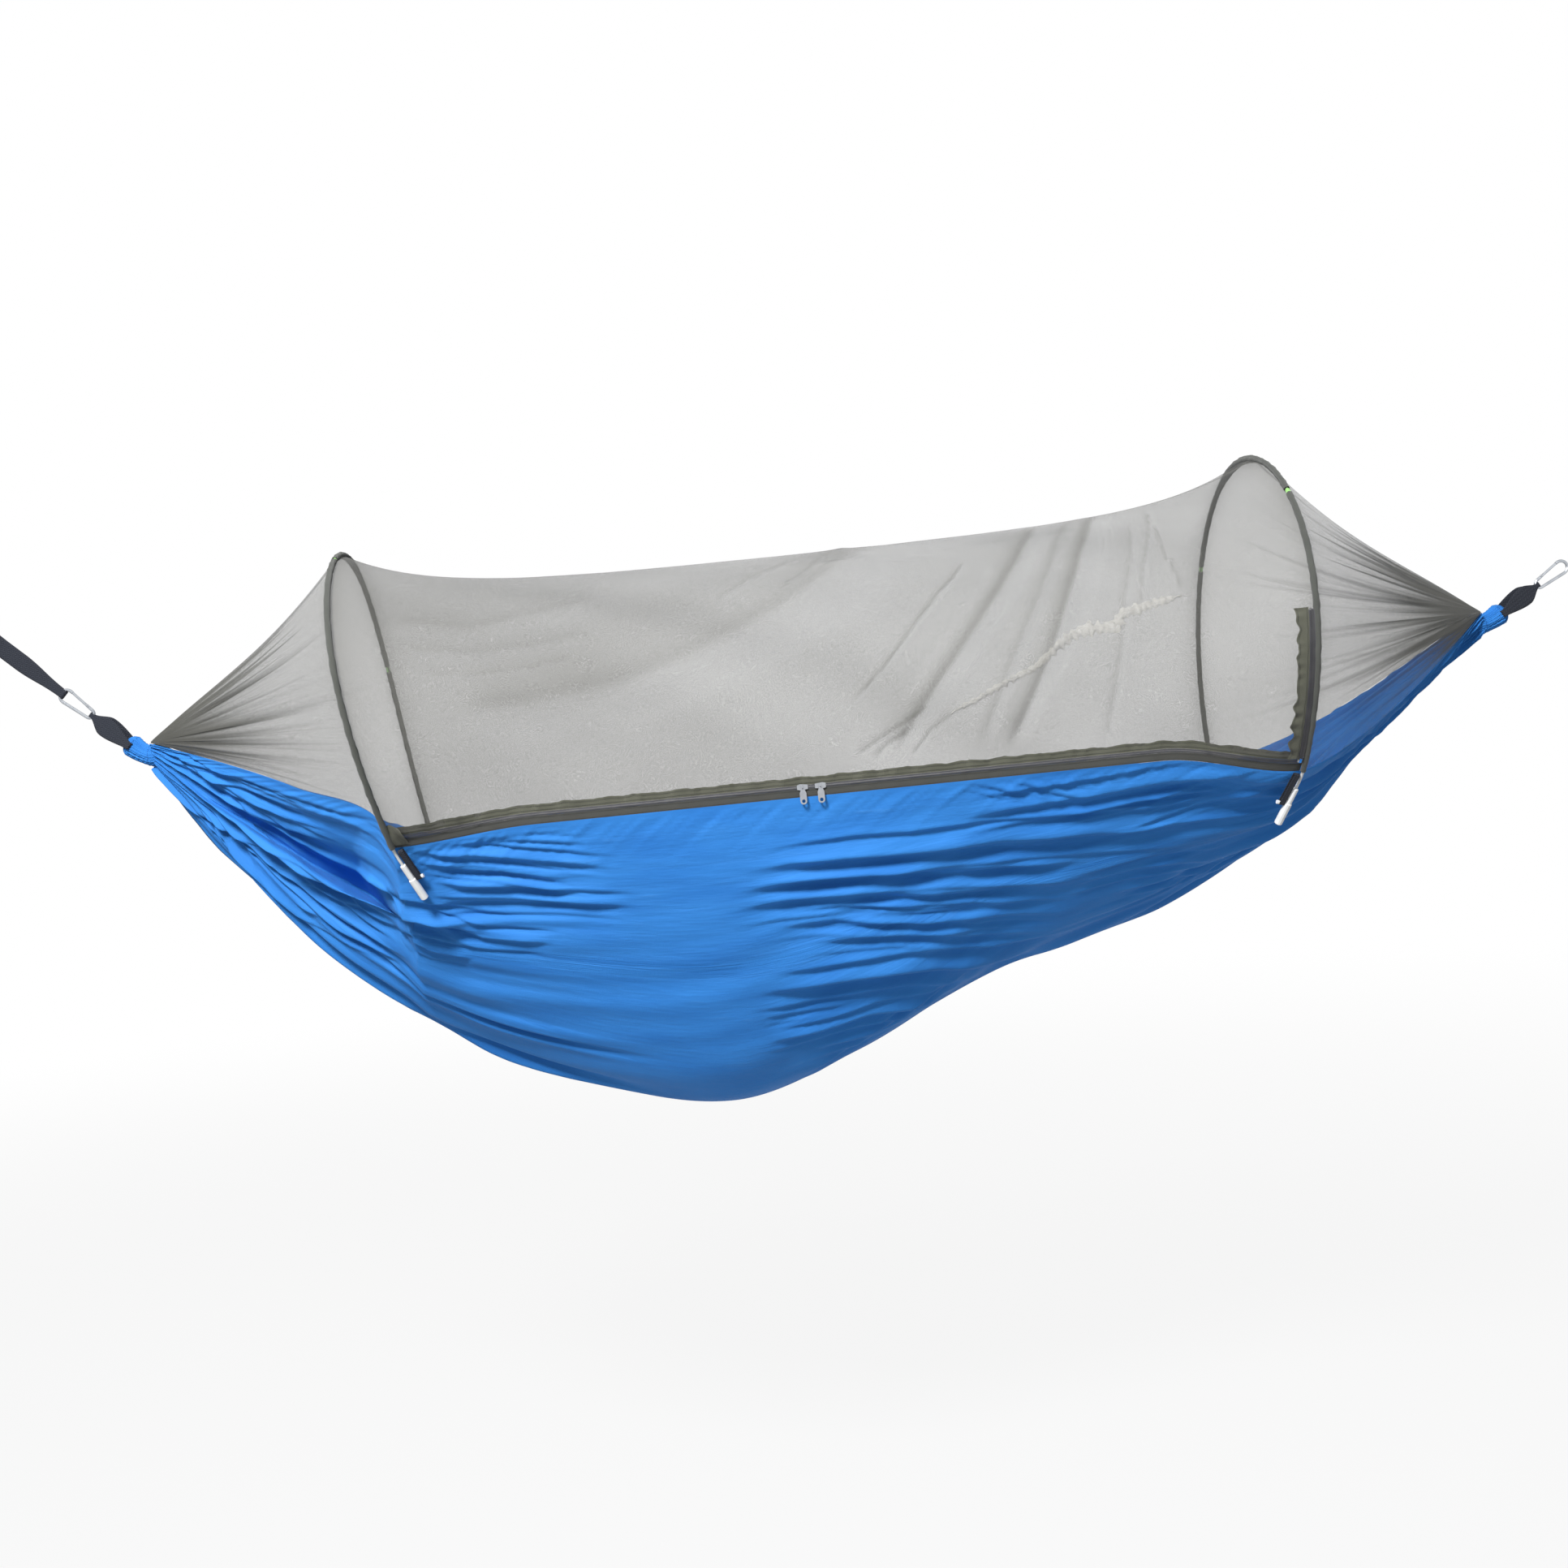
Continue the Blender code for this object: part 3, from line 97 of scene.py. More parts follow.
class Look:
    # The nodes of one finish, or of the sky. Fixed values go straight on to the shader's own sockets.
    def __init__(self, name, sky=False, **fixed):
        self.owner = (bpy.data.worlds if sky else bpy.data.materials).new(name)
        self.owner.use_nodes = True
        self.tree = self.owner.node_tree
        self.tree.nodes.clear()
        self.output = self.tree.nodes.new("ShaderNodeOutputWorld" if sky else "ShaderNodeOutputMaterial")
        self.shader = self.tree.nodes.new("ShaderNodeBackground" if sky else "ShaderNodeBsdfPrincipled")
        self.tree.links.new(self.shader.outputs[0], self.output.inputs[0])
        for key, value in fixed.items():
            self.shader.inputs[key.replace("_", " ")].default_value = value

    def node(self, kind, settings, sockets):
        made = self.tree.nodes.new(kind)
        for key, value in settings.items():
            setattr(made, key, value)
        for key, value in sockets.items():
            if isinstance(value, Wire):
                self.tree.links.new(value.socket, made.inputs[key])
            else:
                made.inputs[key].default_value = value
        return [Wire(self, output) for output in made.outputs if output.enabled]

    def math(self, operation, *values):
        return self.node("ShaderNodeMath", {"operation": operation}, dict(enumerate(values)))[0]

    def feed(self, name, wire):
        self.tree.links.new(wire.socket, self.shader.inputs[name])

    def mix(self, one, two, factor):
        ends = [c if isinstance(c, Wire) else (*c, 1.0) for c in (one, two)]
        return self.node("ShaderNodeMix", {"data_type": "RGBA"}, {0: factor, 6: ends[0], 7: ends[1]})[0]

    def clothPlace(self, along=1.0, across=1.0):
        # Metres along and across the cloth, from its own map, each times a factor.
        raw = self.node("ShaderNodeUVMap", {"uv_map": "clothMap"}, {})[0]
        return self.node("ShaderNodeVectorMath", {"operation": "MULTIPLY"}, {0: raw, 1: (along, across, 1.0)})[0]

    def split(self, vector):
        return self.node("ShaderNodeSeparateXYZ", {}, {0: vector})

    def noise(self, vector, scale, detail=2.0, rough=0.5):
        sockets = {"Vector": vector, "Scale": scale, "Detail": detail, "Roughness": rough}
        return self.node("ShaderNodeTexNoise", {}, sockets)[0]

    def solidPlace(self):
        return self.node("ShaderNodeTexCoord", {}, {})[3]

    def attribute(self, name):
        return self.node("ShaderNodeAttribute", {"attribute_name": name}, {})[2]

    def seen(self):
        # 1 where the camera looks straight, by gloss or through something, and 0 for the light it gives.
        path = self.node("ShaderNodeLightPath", {}, {})
        return path[0].most(path[3]).most(path[6])

    def finish(self, colour, rough, height, distance):
        # Feeds the shader and gives the finished material.
        self.feed("Base Color", colour)
        if rough:
            self.feed("Roughness", rough)
        sockets = {"Height": height, "Distance": distance, "Strength": 1.0}
        self.feed("Normal", self.node("ShaderNodeBump", {}, sockets)[0])
        return self.owner


def weave(look, pitch):
    # Over and under threads as a height from 0 to 1.
    u, v, _ = look.split(look.clothPlace())
    turn = math.tau / pitch
    return (u * turn).sine() * (v * turn).sine() * 0.5 + 0.5


# The third, paler blue is a painted sheen.
nylon = {
    "lit": (0.034, 0.205, 0.59), "deep": (0.018, 0.135, 0.46), "paintedSheen": (0.09, 0.3, 0.68),
    "threadPitch": 0.0016, "relief": 0.0019,
}


def blueNylonLook():
    look = Look("blueNylonCloth", Roughness=0.5, Sheen_Weight=0.02, Sheen_Roughness=0.4, Specular_IOR_Level=0.1)
    crinkle = look.noise(look.clothPlace(9, 30), 1.0, 3.0, 0.6)
    patches = look.noise(look.clothPlace(5, 9), 1.0, 2.0)
    threads = weave(look, nylon["threadPitch"])
    shade = look.mix(nylon["lit"], nylon["deep"], patches.step(0.38, 0.75) * 0.5)
    # Painted sheen: a paler blue on the highest points of the crinkles.
    shade = look.mix(shade, nylon["paintedSheen"], crinkle.step(0.62, 0.8) * 0.28)
    return look.finish(shade, 0.46 + patches * 0.16, crinkle + threads * 0.08, nylon["relief"])


netting = {
    "thread": (0.125, 0.124, 0.112), "shadow": (0.045, 0.045, 0.037), "pitch": 0.0009, "threadShare": 0.26,
    "hole": 0.07, "knot": 0.62, "stray": 0.02,
}


def greyNetLook():
    # The gather attribute is how far the threads are drawn together, or a little below 0 where they lie open. Above 0
    # it also paints the threads darker, towards the shadow colour, as painted shade.
    look = Look("greyNetCloth", Roughness=0.75, Sheen_Weight=0.1)
    u, v, _ = look.split(look.clothPlace())
    stray = look.noise(look.clothPlace(25, 25), 1.0, 1.0) * netting["stray"]  # no thread runs quite straight
    gather = look.attribute("gather")
    threadAlong, threadAcross = ((((way + stray) / netting["pitch"]) % 1.0 - 0.5).size() * 2 for way in (u, v))
    wide = netting["threadShare"] + gather * 0.7
    knit = (wide - threadAlong).most(wide - threadAcross).step(-0.08, 0.08)
    haze = look.noise(look.clothPlace(6, 6), 1.0, 3.0)
    cover = knit * netting["knot"] * (0.85 + haze * 0.3)
    look.feed("Alpha", netting["hole"] + gather.most(0.0) * 0.3 + cover)
    # Painted shade: the drawn threads are darkened towards the shadow colour.
    look.feed("Base Color", look.mix(netting["thread"], netting["shadow"], gather.most(0.0).least(1.0)))
    return look.owner


pleat = {"pale": (0.56, 0.55, 0.505), "shadow": (0.34, 0.335, 0.3), "threadPitch": 0.0014, "relief": 0.001}


def paleTuckLook():
    # Several layers of the net, drawn up into one pale pleat.
    look = Look("paleTuckCloth", Roughness=0.9)
    patches = look.noise(look.clothPlace(70, 200), 1.0, 3.0)
    threads = weave(look, pleat["threadPitch"])
    look.feed("Alpha", 0.1 + patches * 0.55 + threads * 0.15)
    shade = look.mix(pleat["pale"], pleat["shadow"], patches.step(0.4, 0.75) * 0.8)
    return look.finish(shade, None, patches + threads * 0.3, pleat["relief"])


def wovenLook(name, base, second, pitch, rough):
    look = Look(name, Roughness=rough, Sheen_Weight=0.15, Sheen_Roughness=0.5)
    threads = weave(look, pitch)
    patches = look.noise(look.clothPlace(30, 30), 1.0, 3.0)
    shade = look.mix(base, second, threads * 0.45 + patches * 0.4)
    return look.finish(shade, rough - 0.1 + patches * 0.2, threads + patches * 0.6, 0.0006)


def twillLook(name, base, second, pitch):
    # Webbing: slanting ribs that meet in points down the middle of the band.
    look = Look(name, Roughness=0.75, Sheen_Weight=0.04, Specular_IOR_Level=0.2)
    u, v, _ = look.split(look.clothPlace())
    ribs = ((u + (v % 0.006 - 0.003).size()) * (math.tau / pitch)).sine() * 0.5 + 0.5
    patches = look.noise(look.clothPlace(60, 60), 1.0, 3.0)
    return look.finish(look.mix(base, second, ribs * 0.6 + patches * 0.3), 0.6 + patches * 0.2, ribs, 0.0006)


def mouldedLook(name, colour, second, rough, **fixed):
    look = Look(name, Roughness=rough, **fixed)
    place = look.solidPlace()
    patches = look.noise(place, 60, 3.0)
    grain = look.noise(place, 900, 2.0)
    shade = look.mix(colour, second, patches.step(0.35, 0.75) * 0.6)
    return look.finish(shade, rough - 0.08 + patches * 0.16, grain, 0.00012)


print("materials")
blueNylon = blueNylonLook()
greyNet = greyNetLook()
sleeveCloth = wovenLook("sleeveCloth", (0.075, 0.08, 0.07), (0.035, 0.037, 0.033), 0.0021, 0.85)
tapeCloth = wovenLook("zipTapeCloth", (0.115, 0.118, 0.085), (0.06, 0.062, 0.045), 0.0016, 0.85)
darkTape = wovenLook("zipTapeDark", (0.062, 0.063, 0.055), (0.035, 0.036, 0.034), 0.0016, 0.85)
paleTuck = paleTuckLook()
toothPlastic = mouldedLook("zipToothPlastic", (0.04, 0.04, 0.046), (0.075, 0.075, 0.08), 0.45)
blackWebbing = twillLook("blackWebbing", (0.010, 0.012, 0.018), (0.026, 0.030, 0.042), 0.0035)
blueThread = mouldedLook("blueSeamThread", (0.012, 0.10, 0.33), (0.02, 0.14, 0.42), 0.7)
darkThread = mouldedLook("darkSeamThread", (0.03, 0.032, 0.03), (0.055, 0.056, 0.05), 0.7)
whitePlastic = mouldedLook("whiteMouldedPlastic", (0.72, 0.73, 0.73), (0.6, 0.61, 0.61), 0.35)
limePlastic = mouldedLook("limeFerrule", (0.36, 0.74, 0.22), (0.28, 0.62, 0.16), 0.35, Metallic=0.35)
paleRod = mouldedLook("glassFibreRod", (0.62, 0.63, 0.62), (0.5, 0.51, 0.5), 0.35)
brightMetal = mouldedLook("brightMetal", (0.44, 0.46, 0.49), (0.27, 0.29, 0.32), 0.3, Metallic=1.0)


def smoothStep(t):
    t = np.clip(t, 0.0, 1.0)
    return t * t * (3 - 2 * t)


def bell(places, middle, width, power=2):
    return np.exp(-((places - middle) / width) ** power)


def between(one, two, share):
    return one + (two - one) * share


def wavy(values, seed, low=1.0, high=6.0, count=5):
    # A smooth uneven wave of about unit height, the same on every run.
    picker = np.random.default_rng(seed)
    total = np.zeros_like(values, dtype=float)
    rates, phases = picker.uniform(low, high, count), picker.uniform(0, math.tau, count)
    for rate, phase, height in zip(rates, phases, picker.uniform(0.5, 1, count)):
        total = total + height * np.sin(values * rate * math.tau + phase)
    return total / (0.75 * math.sqrt(count))


def unit(vectors):
    return vectors / np.linalg.norm(vectors, axis=-1)[..., None]


def inMetres(numbers):
    # Points (along, up) from a row of whole millimetres.
    return np.reshape(numbers, (-1, 2)) / 1000


def runLength(line):
    # How far along a line each of its points lies.
    return np.concatenate(([0], np.cumsum(np.linalg.norm(np.diff(line, axis=0), axis=1))))


def pointsAt(line, marks, places):
    # The points of a line at some places, by a mark that each of its own points has.
    return np.stack([np.interp(places, marks, line[:, k]) for k in range(3)], axis=1)


def evenLine(line, count):
    # The same line with evenly spaced points.
    line = np.asarray(line, float)
    run = runLength(line)
    return pointsAt(line, run, np.linspace(0, run[-1], count))


def addMesh(name, points, faces, material, clothMap=None, gather=None, smooth=True):
    # Points are about the bed's middle; clothMap holds metres along and across for each point.
    points = np.asarray(points, float).reshape(-1, 3) + bedMiddle
    mesh = bpy.data.meshes.new(name)
    mesh.from_pydata(points.tolist(), [], faces)
    if clothMap is not None:
        layer = mesh.uv_layers.new(name="clothMap")
        corners = np.zeros(len(mesh.loops), int)
        mesh.loops.foreach_get("vertex_index", corners)
        layer.data.foreach_set("uv", np.asarray(clothMap, float).reshape(-1, 2)[corners].ravel())
    if gather is not None:
        held = mesh.attributes.new("gather", "FLOAT", "POINT")
        held.data.foreach_set("value", np.asarray(gather, np.float32).ravel())
    if smooth:
        mesh.shade_smooth()
    mesh.materials.append(material)
    thing = bpy.data.objects.new(name, mesh)
    bpy.context.scene.collection.objects.link(thing)
    return thing


def settle(piece, node=None, body=None):
    # Hides the solid that the piece stands for, and hangs the piece on the body that carries it.
    if node:
        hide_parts(node)
    if body:
        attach(piece, body)
    return piece


def gridFaces(rows, columns, closed=False):
    faces = []
    for i in range(rows - 1):
        for k in range(columns if closed else columns - 1):
            n = (k + 1) % columns
            a, b = i * columns, (i + 1) * columns
            faces.append((a + k, a + n, b + n, b + k))
    return faces


def gridMap(along, across):
    return np.stack(np.meshgrid(along, across, indexing="ij"), axis=2)


def gridNormals(grid):
    normal = np.cross(np.gradient(grid, axis=0), np.gradient(grid, axis=1))
    size = np.linalg.norm(normal, axis=2)[:, :, None]
    return normal / np.maximum(size, 1e-9)


def clothGrid(name, grid, material, gather=None):
    # A surface from rows of points, with its own metres as a map.
    rows, columns, _ = grid.shape
    alongSteps = np.linalg.norm(np.diff(grid, axis=0), axis=2).mean(axis=1)
    acrossSteps = np.linalg.norm(np.diff(grid, axis=1), axis=2).max(axis=0)
    along, across = (np.concatenate(([0], np.cumsum(steps))) for steps in (alongSteps, acrossSteps))
    return addMesh(name, grid, gridFaces(rows, columns), material, gridMap(along, across), gather)


def lineFrames(line):
    # Side and up at each point of a line, turning as little as they can.
    ways = unit(np.gradient(line, axis=0))
    side = np.cross(ways[0], (0.31, 0.2, 0.93))
    sides = []
    for way in ways:
        side = side - way * (side @ way)
        side = side / np.linalg.norm(side)
        sides.append(side)
    return np.array(sides), np.cross(ways, sides)


def clothTube(name, line, radii, material):
    # A tube with a radius for each point of its line and each angle round it.
    sides, ups = lineFrames(line)
    angles = np.arange(radii.shape[1]) * math.tau / radii.shape[1]
    ring = sides[:, None] * np.cos(angles)[None, :, None] + ups[:, None] * np.sin(angles)[None, :, None]
    grid = line[:, None] + ring * radii[:, :, None]
    clothMap = gridMap(runLength(line), angles * radii.mean())
    return addMesh(name, grid, gridFaces(*radii.shape, closed=True), material, clothMap)


def blockRow(name, places, alongs, ups, size, material):
    # Many small blocks with narrower outer faces, one for each tooth or stitch.
    along, up, out = (v / 2 for v in size)
    places, alongs, ups = (np.asarray(v, float) for v in (places, alongs, ups))
    alongs = unit(alongs)
    ups = unit(ups - alongs * (ups * alongs).sum(axis=1)[:, None])
    outs = np.cross(alongs, ups)
    corners = [(a, b, c, 0.75 if c > 0 else 1) for a in (-1, 1) for b, c in ((-1, -1), (1, -1), (1, 1), (-1, 1))]
    points = np.stack([
        places + alongs * along * a * narrow + ups * up * b * narrow + outs * out * c for a, b, c, narrow in corners
    ], axis=1)
    sides = [(0, 1, 2, 3), (7, 6, 5, 4), (0, 4, 5, 1), (1, 5, 6, 2), (2, 6, 7, 3), (3, 7, 4, 0)]
    faces = [tuple(8 * i + k for k in side) for i in range(len(places)) for side in sides]
    return addMesh(name, points, faces, material, smooth=False)


stitch = {"pitch": 0.0034, "length": 0.0024, "width": 0.0006, "height": 0.0005}


def stitchLine(name, line, outward, body, pitch=stitch["pitch"], length=stitch["length"]):
    # A row of dark stitches that lies on a line and rides with a body.
    run = np.linalg.norm(np.diff(line, axis=0), axis=1).sum()
    spots = evenLine(line, max(3, int(run / pitch)))
    ways = np.gradient(spots, axis=0)
    outs = np.broadcast_to(np.asarray(outward, float), spots.shape)
    size = (length, stitch["width"], stitch["height"])
    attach(blockRow(name, spots, ways, np.cross(outs, ways), size, darkThread), body)


def beltLine(circles, runSteps=14, turn=0.3):
    # The closed line of a belt round some circles, listed anticlockwise.
    centres = [np.array(centre, float) for centre, _ in circles]
    radii = [radius for _, radius in circles]
    normals = []
    for i in range(len(circles)):
        n = (i + 1) % len(circles)
        way = centres[n] - centres[i]
        size = np.linalg.norm(way)
        along = way / size
        tilt = math.asin((radii[i] - radii[n]) / size)
        normals.append(np.array((along[1], -along[0])) * math.cos(tilt) + along * math.sin(tilt))
    line = []
    for i, (centre, radius) in enumerate(zip(centres, radii)):
        first, last = normals[i - 1], normals[i]
        start = math.atan2(first[1], first[0])
        sweep = (math.atan2(last[1], last[0]) - start) % math.tau
        steps = max(2, round(sweep / turn))
        for k in range(steps + 1):
            angle = start + sweep * k / steps
            line.append(centre + radius * np.array((math.cos(angle), math.sin(angle))))
        n = (i + 1) % len(circles)
        runStart, runEnd = centre + last * radius, centres[n] + last * radii[n]
        line += [runStart + (runEnd - runStart) * k / runSteps for k in range(1, runSteps)]
    return np.array(line)


def webbingBand(name, line, place, axes, widthAt, thickness, count, half=11):
    # A woven band: a thin section with firm edges, swept round a closed flat line in its own frame.
    whole = np.concatenate((line, line[:1]))
    even = evenLine(np.column_stack((whole, np.zeros(len(whole)))), count + 1)[:-1, :2]
    ways = unit(np.roll(even, -1, axis=0) - np.roll(even, 1, axis=0))
    normals = np.column_stack((ways[:, 1], -ways[:, 0]))
    shares = np.concatenate((np.linspace(-1, 1, half), np.linspace(1, -1, half)))
    face = np.concatenate((np.ones(half), -np.ones(half)))
    firm = 1 - 0.5 * np.abs(shares) ** 8 + 0.25 * bell(np.abs(shares), 0.9, 0.06)
    widths = np.array([widthAt(x) for x in even[:, 0]])
    flat = even[:, None] + normals[:, None] * (face * firm * thickness / 2)[None, :, None]
    height = widths[:, None] / 2 * shares[None]
    x, y, z = (np.array(axis, float) for axis in axes)
    grid = np.array(place) + flat[..., :1] * x + flat[..., 1:] * y + height[..., None] * z
    run = np.arange(len(even)) * np.linalg.norm(even[1] - even[0])
    clothMap = np.stack((np.broadcast_to(run[:, None], height.shape), height), axis=2)
    ring = 2 * half
    start = (len(even) - 1) * ring
    faces = gridFaces(len(even), ring, closed=True)
    faces += [(start + k, start + (k + 1) % ring, (k + 1) % ring, k) for k in range(ring)]
    return addMesh(name, grid, faces, blackWebbing, clothMap)


bed = {
    "halfSpan": 1.165, "halfWidth": 0.33, "bellyDepth": 0.495, "edgeHeight": 0.026,
    "neckHeight": 0.222, "neckHalfWidth": 0.02, "straightHalf": 0.49, "cornerSetIn": 0.008,
    "middlePower": 2.4, "footPower": 1.55, "flat": (1.4, 2.9), "stations": (0, 0.19, 0.29, 0.71, 0.81, 1),
    "keel": ((-1.0, 0.368), (-0.921, 0.099), (-0.791, -0.265), (-0.614, -0.636), (-0.412, -0.877),
             (-0.197, -1.0), (-0.006, -0.865), (0.208, -0.63), (0.331, -0.56), (0.474, -0.475),
             (0.66, -0.234), (0.806, 0.057), (1.0, 0.368)),
    "flapHeight": 0.019, "flapShare": 0.07, "flapFade": 0.3,  # the cloth that stands up beside the left foot
}
hoopTwist = 0.083
hoops = {
    "left": {"side": -1, "reach": 0.739, "foot": 0.011, "lean": 0.062, "half": 0.42, "footHalf": 0.33,
             "shoulder": 0.231, "crown": 0.265, "edgePowers": (0.65, 1.05), "ferrules": (0.383, 0.775)},
    "right": {"side": 1, "reach": 0.737, "foot": -0.011, "lean": 0.025, "half": 0.44, "footHalf": 0.34,
              "shoulder": 0.222, "crown": 0.314, "edgePowers": (1.4, 1.4), "ferrules": (0.3, 0.742)},
}


def smoothKnots(knots, places):
    # A Hermite line through a few knots.
    xs, ys = np.array(knots).T
    last = len(xs) - 1
    slopes = np.array([
        (ys[min(i + 1, last)] - ys[max(i - 1, 0)]) / (xs[min(i + 1, last)] - xs[max(i - 1, 0)])
        for i in range(len(xs))
    ])
    places = np.clip(np.asarray(places, float), xs[0], xs[-1])
    k = np.clip(np.searchsorted(xs, places, side="right") - 1, 0, len(xs) - 2)
    span = xs[k + 1] - xs[k]
    t = (places - xs[k]) / span
    return (between(ys[k], ys[k + 1], smoothStep(t)) + slopes[k] * span * t * (1 - t) ** 2
            - slopes[k + 1] * span * t * t * (1 - t))


def hoopAt(x):
    return hoops["left" if x < 0 else "right"]


def legReach(hoop, across):
    return hoop["reach"] + hoopTwist * hoop["footHalf"] * across


def hoopPoint(hoop, height, across):
    total = hoop["shoulder"] + hoop["crown"]
    reach = hoop["reach"] + hoop["lean"] * (1 - (1 - height / total) ** 2)
    return np.array((hoop["side"] * (reach + hoopTwist * across), across, height + hoop["foot"]))


def towardFoot(x, reach):
    # 0 along the straight middle of an edge, up to 1 at the hoop's foot.
    return smoothStep((abs(x) - bed["straightHalf"]) / (reach - bed["straightHalf"]))


def edgePoint(x, across):
    # A point of the bed's near (-1) or far (1) edge.
    hoop = hoopAt(x)
    reach = legReach(hoop, across)
    footHalf = hoop["footHalf"] - bed["cornerSetIn"]
    if abs(x) > reach:
        t = min((abs(x) - reach) / (bed["halfSpan"] - reach), 1.0)
        power = hoop["edgePowers"][0 if across < 0 else 1]
        height = between(hoop["foot"], bed["neckHeight"], t ** power)
        if x < 0 and across < 0:
            risen, kept = smoothStep(t / bed["flapShare"]), 1 - smoothStep((t - bed["flapShare"]) / bed["flapFade"])
            height += bed["flapHeight"] * risen * kept
        width = between(footHalf, bed["neckHalfWidth"], t)
    else:
        t = towardFoot(x, reach)
        height = between(bed["edgeHeight"], hoop["foot"], t)
        width = between(bed["halfWidth"], footHalf, t)
    return np.array((x, across * width, height))


def edgePlace(t, across):
    # Where a station from 0 to 1 along the bed meets one of its edges.
    span, straight = bed["halfSpan"], bed["straightHalf"]
    stops = (-span, -legReach(hoops["left"], across), -straight, straight, legReach(hoops["right"], across), span)
    return float(np.interp(t, bed["stations"], stops))


def bedSection(t, count):
    near, far = edgePoint(edgePlace(t, -1), -1), edgePoint(edgePlace(t, 1), 1)
    middle = (near[0] + far[0]) / 2
    keel = bed["bellyDepth"] * float(smoothKnots(bed["keel"], middle / bed["halfSpan"]))
    footward = float(smoothStep(abs(middle) / hoopAt(middle)["reach"]))
    power = between(bed["middlePower"], bed["footPower"], footward)
    share = np.sin(math.pi * (np.linspace(0, 1, 4 * count) - 0.5))
    height = np.where(share < 0, near[2], far[2])
    x = near[0] + (far[0] - near[0]) * (share + 1) / 2
    y = np.where(share < 0, near[1], far[1]) * np.abs(share)
    z = height - (height - keel) * (1 - np.abs(share) ** power)
    return evenLine(np.stack((x, y, z), axis=1), count)


def lineDistance(points, line):
    # How far points (along, up) are from a line, on which side of it, and how far along it.
    best = np.full(len(points), 1e9)
    height, along = np.zeros(len(points)), np.zeros(len(points))
    run = runLength(line)
    for i, (start, end) in enumerate(zip(line, line[1:])):
        way = end - start
        t = np.clip((points - start) @ way / (way @ way), 0, 1)
        gap = points - (start + t[:, None] * way)
        far = np.linalg.norm(gap, axis=1)
        nearer = far < best
        above = np.array((-way[1], way[0])) * (1 if way[0] >= 0 else -1)
        best = np.where(nearer, far, best)
        height = np.where(nearer, np.sign(gap @ above), height)
        along = np.where(nearer, (run[i] + t * (run[i + 1] - run[i])) / run[-1], along)
    return best, height, along


# Each crease is drawn with two finer ones beside it: shift, share of the height, share of the width.
bedFolds = {
    "rows": 420, "columns": 390, "count": 15, "gatherHeight": 0.019, "nearShare": 0.45, "farShare": 1.9,
    "crumple": 0.0035, "hem": 0.0012, "creaseGain": 1.6,
    "creaseParts": ((0.0, 0.9, 1.0), (1.5, 0.4, 0.5), (-1.3, 0.32, 0.5)),
}

# Creases of the near side, in millimetres: height, width, and the points (along, up) that they run through.
bedCreases = (
    (5, 12, -1089, 181, -980, 144, -890, 105, -813, 76, -739, 57),
    (6, 10, -1132, 199, -1037, 144, -970, 120, -897, 82, -841, 62),
    (7, 11, -1132, 190, -1070, 142, -995, 94, -920, 57, -820, 20),
    (7, 10, -1085, 146, -996, 90, -932, 48, -867, 3),
    (7, 10, -1015, 112, -946, 68, -877, 36, -817, 6),
    (12, 20, -1146, 187, -1088, 122, -1015, 73, -960, 22, -904, -17, -847, -44, -790, -71, -743, -99, -695, -114,
     -624, -135, -531, -156),
    (5.5, 10, -1125, 122, -1083, 83, -998, 30, -914, -17, -850, -58, -798, -103, -726, -151),
    (6, 10, -951, -6, -891, -52, -830, -97, -763, -146),
    (6, 10, -944, -65, -870, -116, -804, -157, -741, -201),
    (3, 10, -1133, 150, -1109, 120, -1053, 48, -1007, -31, -972, -76, -938, -109),
    (4, 9, -695, 11, -629, 15, -567, 12, -511, 9),
    (6, 12, -693, 9, -650, -9, -593, -14, -474, -37, -374, -57),
    (6, 11, -672, -20, -626, -33, -552, -45, -438, -76),
    (7, 14, -669, -51, -623, -61, -530, -72, -430, -93),
    (7, 14, -671, -84, -585, -92, -458, -106, -344, -122),
    (7, 13, -713, -101, -658, -127, -606, -151, -481, -170),
    (6, 11, -734, -143, -693, -169, -624, -186),
    (9, 24, -193, -92, -114, -83, -19, -79, 68, -82, 188, -79, 309, -83, 432, -88, 606, -90),
    (8, 22, -208, -117, -121, -109, 7, -113, 151, -117, 297, -129, 395, -132),
    (9, 22, -198, -146, -112, -140, 7, -143, 125, -158, 250, -161, 383, -164),
    (4, 10, -50, -163, 2, -166, 101, -174, 251, -183),
    (7, 16, -150, -182, -39, -183, 100, -205, 224, -209, 362, -219),
    (6, 14, -100, -212, 62, -219, 187, -240, 338, -248),
    (5, 13, 356, -170, 471, -153, 621, -151),
    (5, 12, 431, -193, 512, -185, 662, -175),
    (12, 22, -180, -289, -64, -286, 59, -284, 196, -296, 333, -286, 386, -275),
    (8, 14, -167, -377, -69, -370, 7, -356, 111, -352, 203, -325),
    (7, 12, -93, -407, 12, -392, 105, -358, 189, -330),
    (9, 14, -129, -472, -30, -433, 44, -401, 137, -356),
    (3, 10, -170, -332, -102, -332, -21, -329),
    (8, 20, 159, -36, 249, -29, 367, -22, 485, -11, 660, -10),
    (5, 12, 323, -52, 459, -38, 547, -34, 618, -31),
    (4, 10, 438, -82, 570, -57, 704, -32),
    (3, 9, 264, 18, 322, -9, 381, -23),
    (3, 9, 175, 26, 232, 8, 289, -9),
    (3, 9, 468, -39, 533, -28, 608, -17),
    (3, 8, -618, 8, -518, 3, -408, -14),
    (3, 9, -183, 13, -157, 25, -130, 26),
    (4, 10, -615, 17, -515, 25, -414, 25),
    (5, 8, 745, -15, 930, 45, 1030, 122, 1165, 218),
    (6, 8, 800, -73, 890, 0, 1030, 100, 1165, 214),
    (6, 9, 760, -110, 850, -35, 950, 45, 1120, 165),
    (5, 10, 655, -150, 770, -90, 870, 0, 950, 60),
)

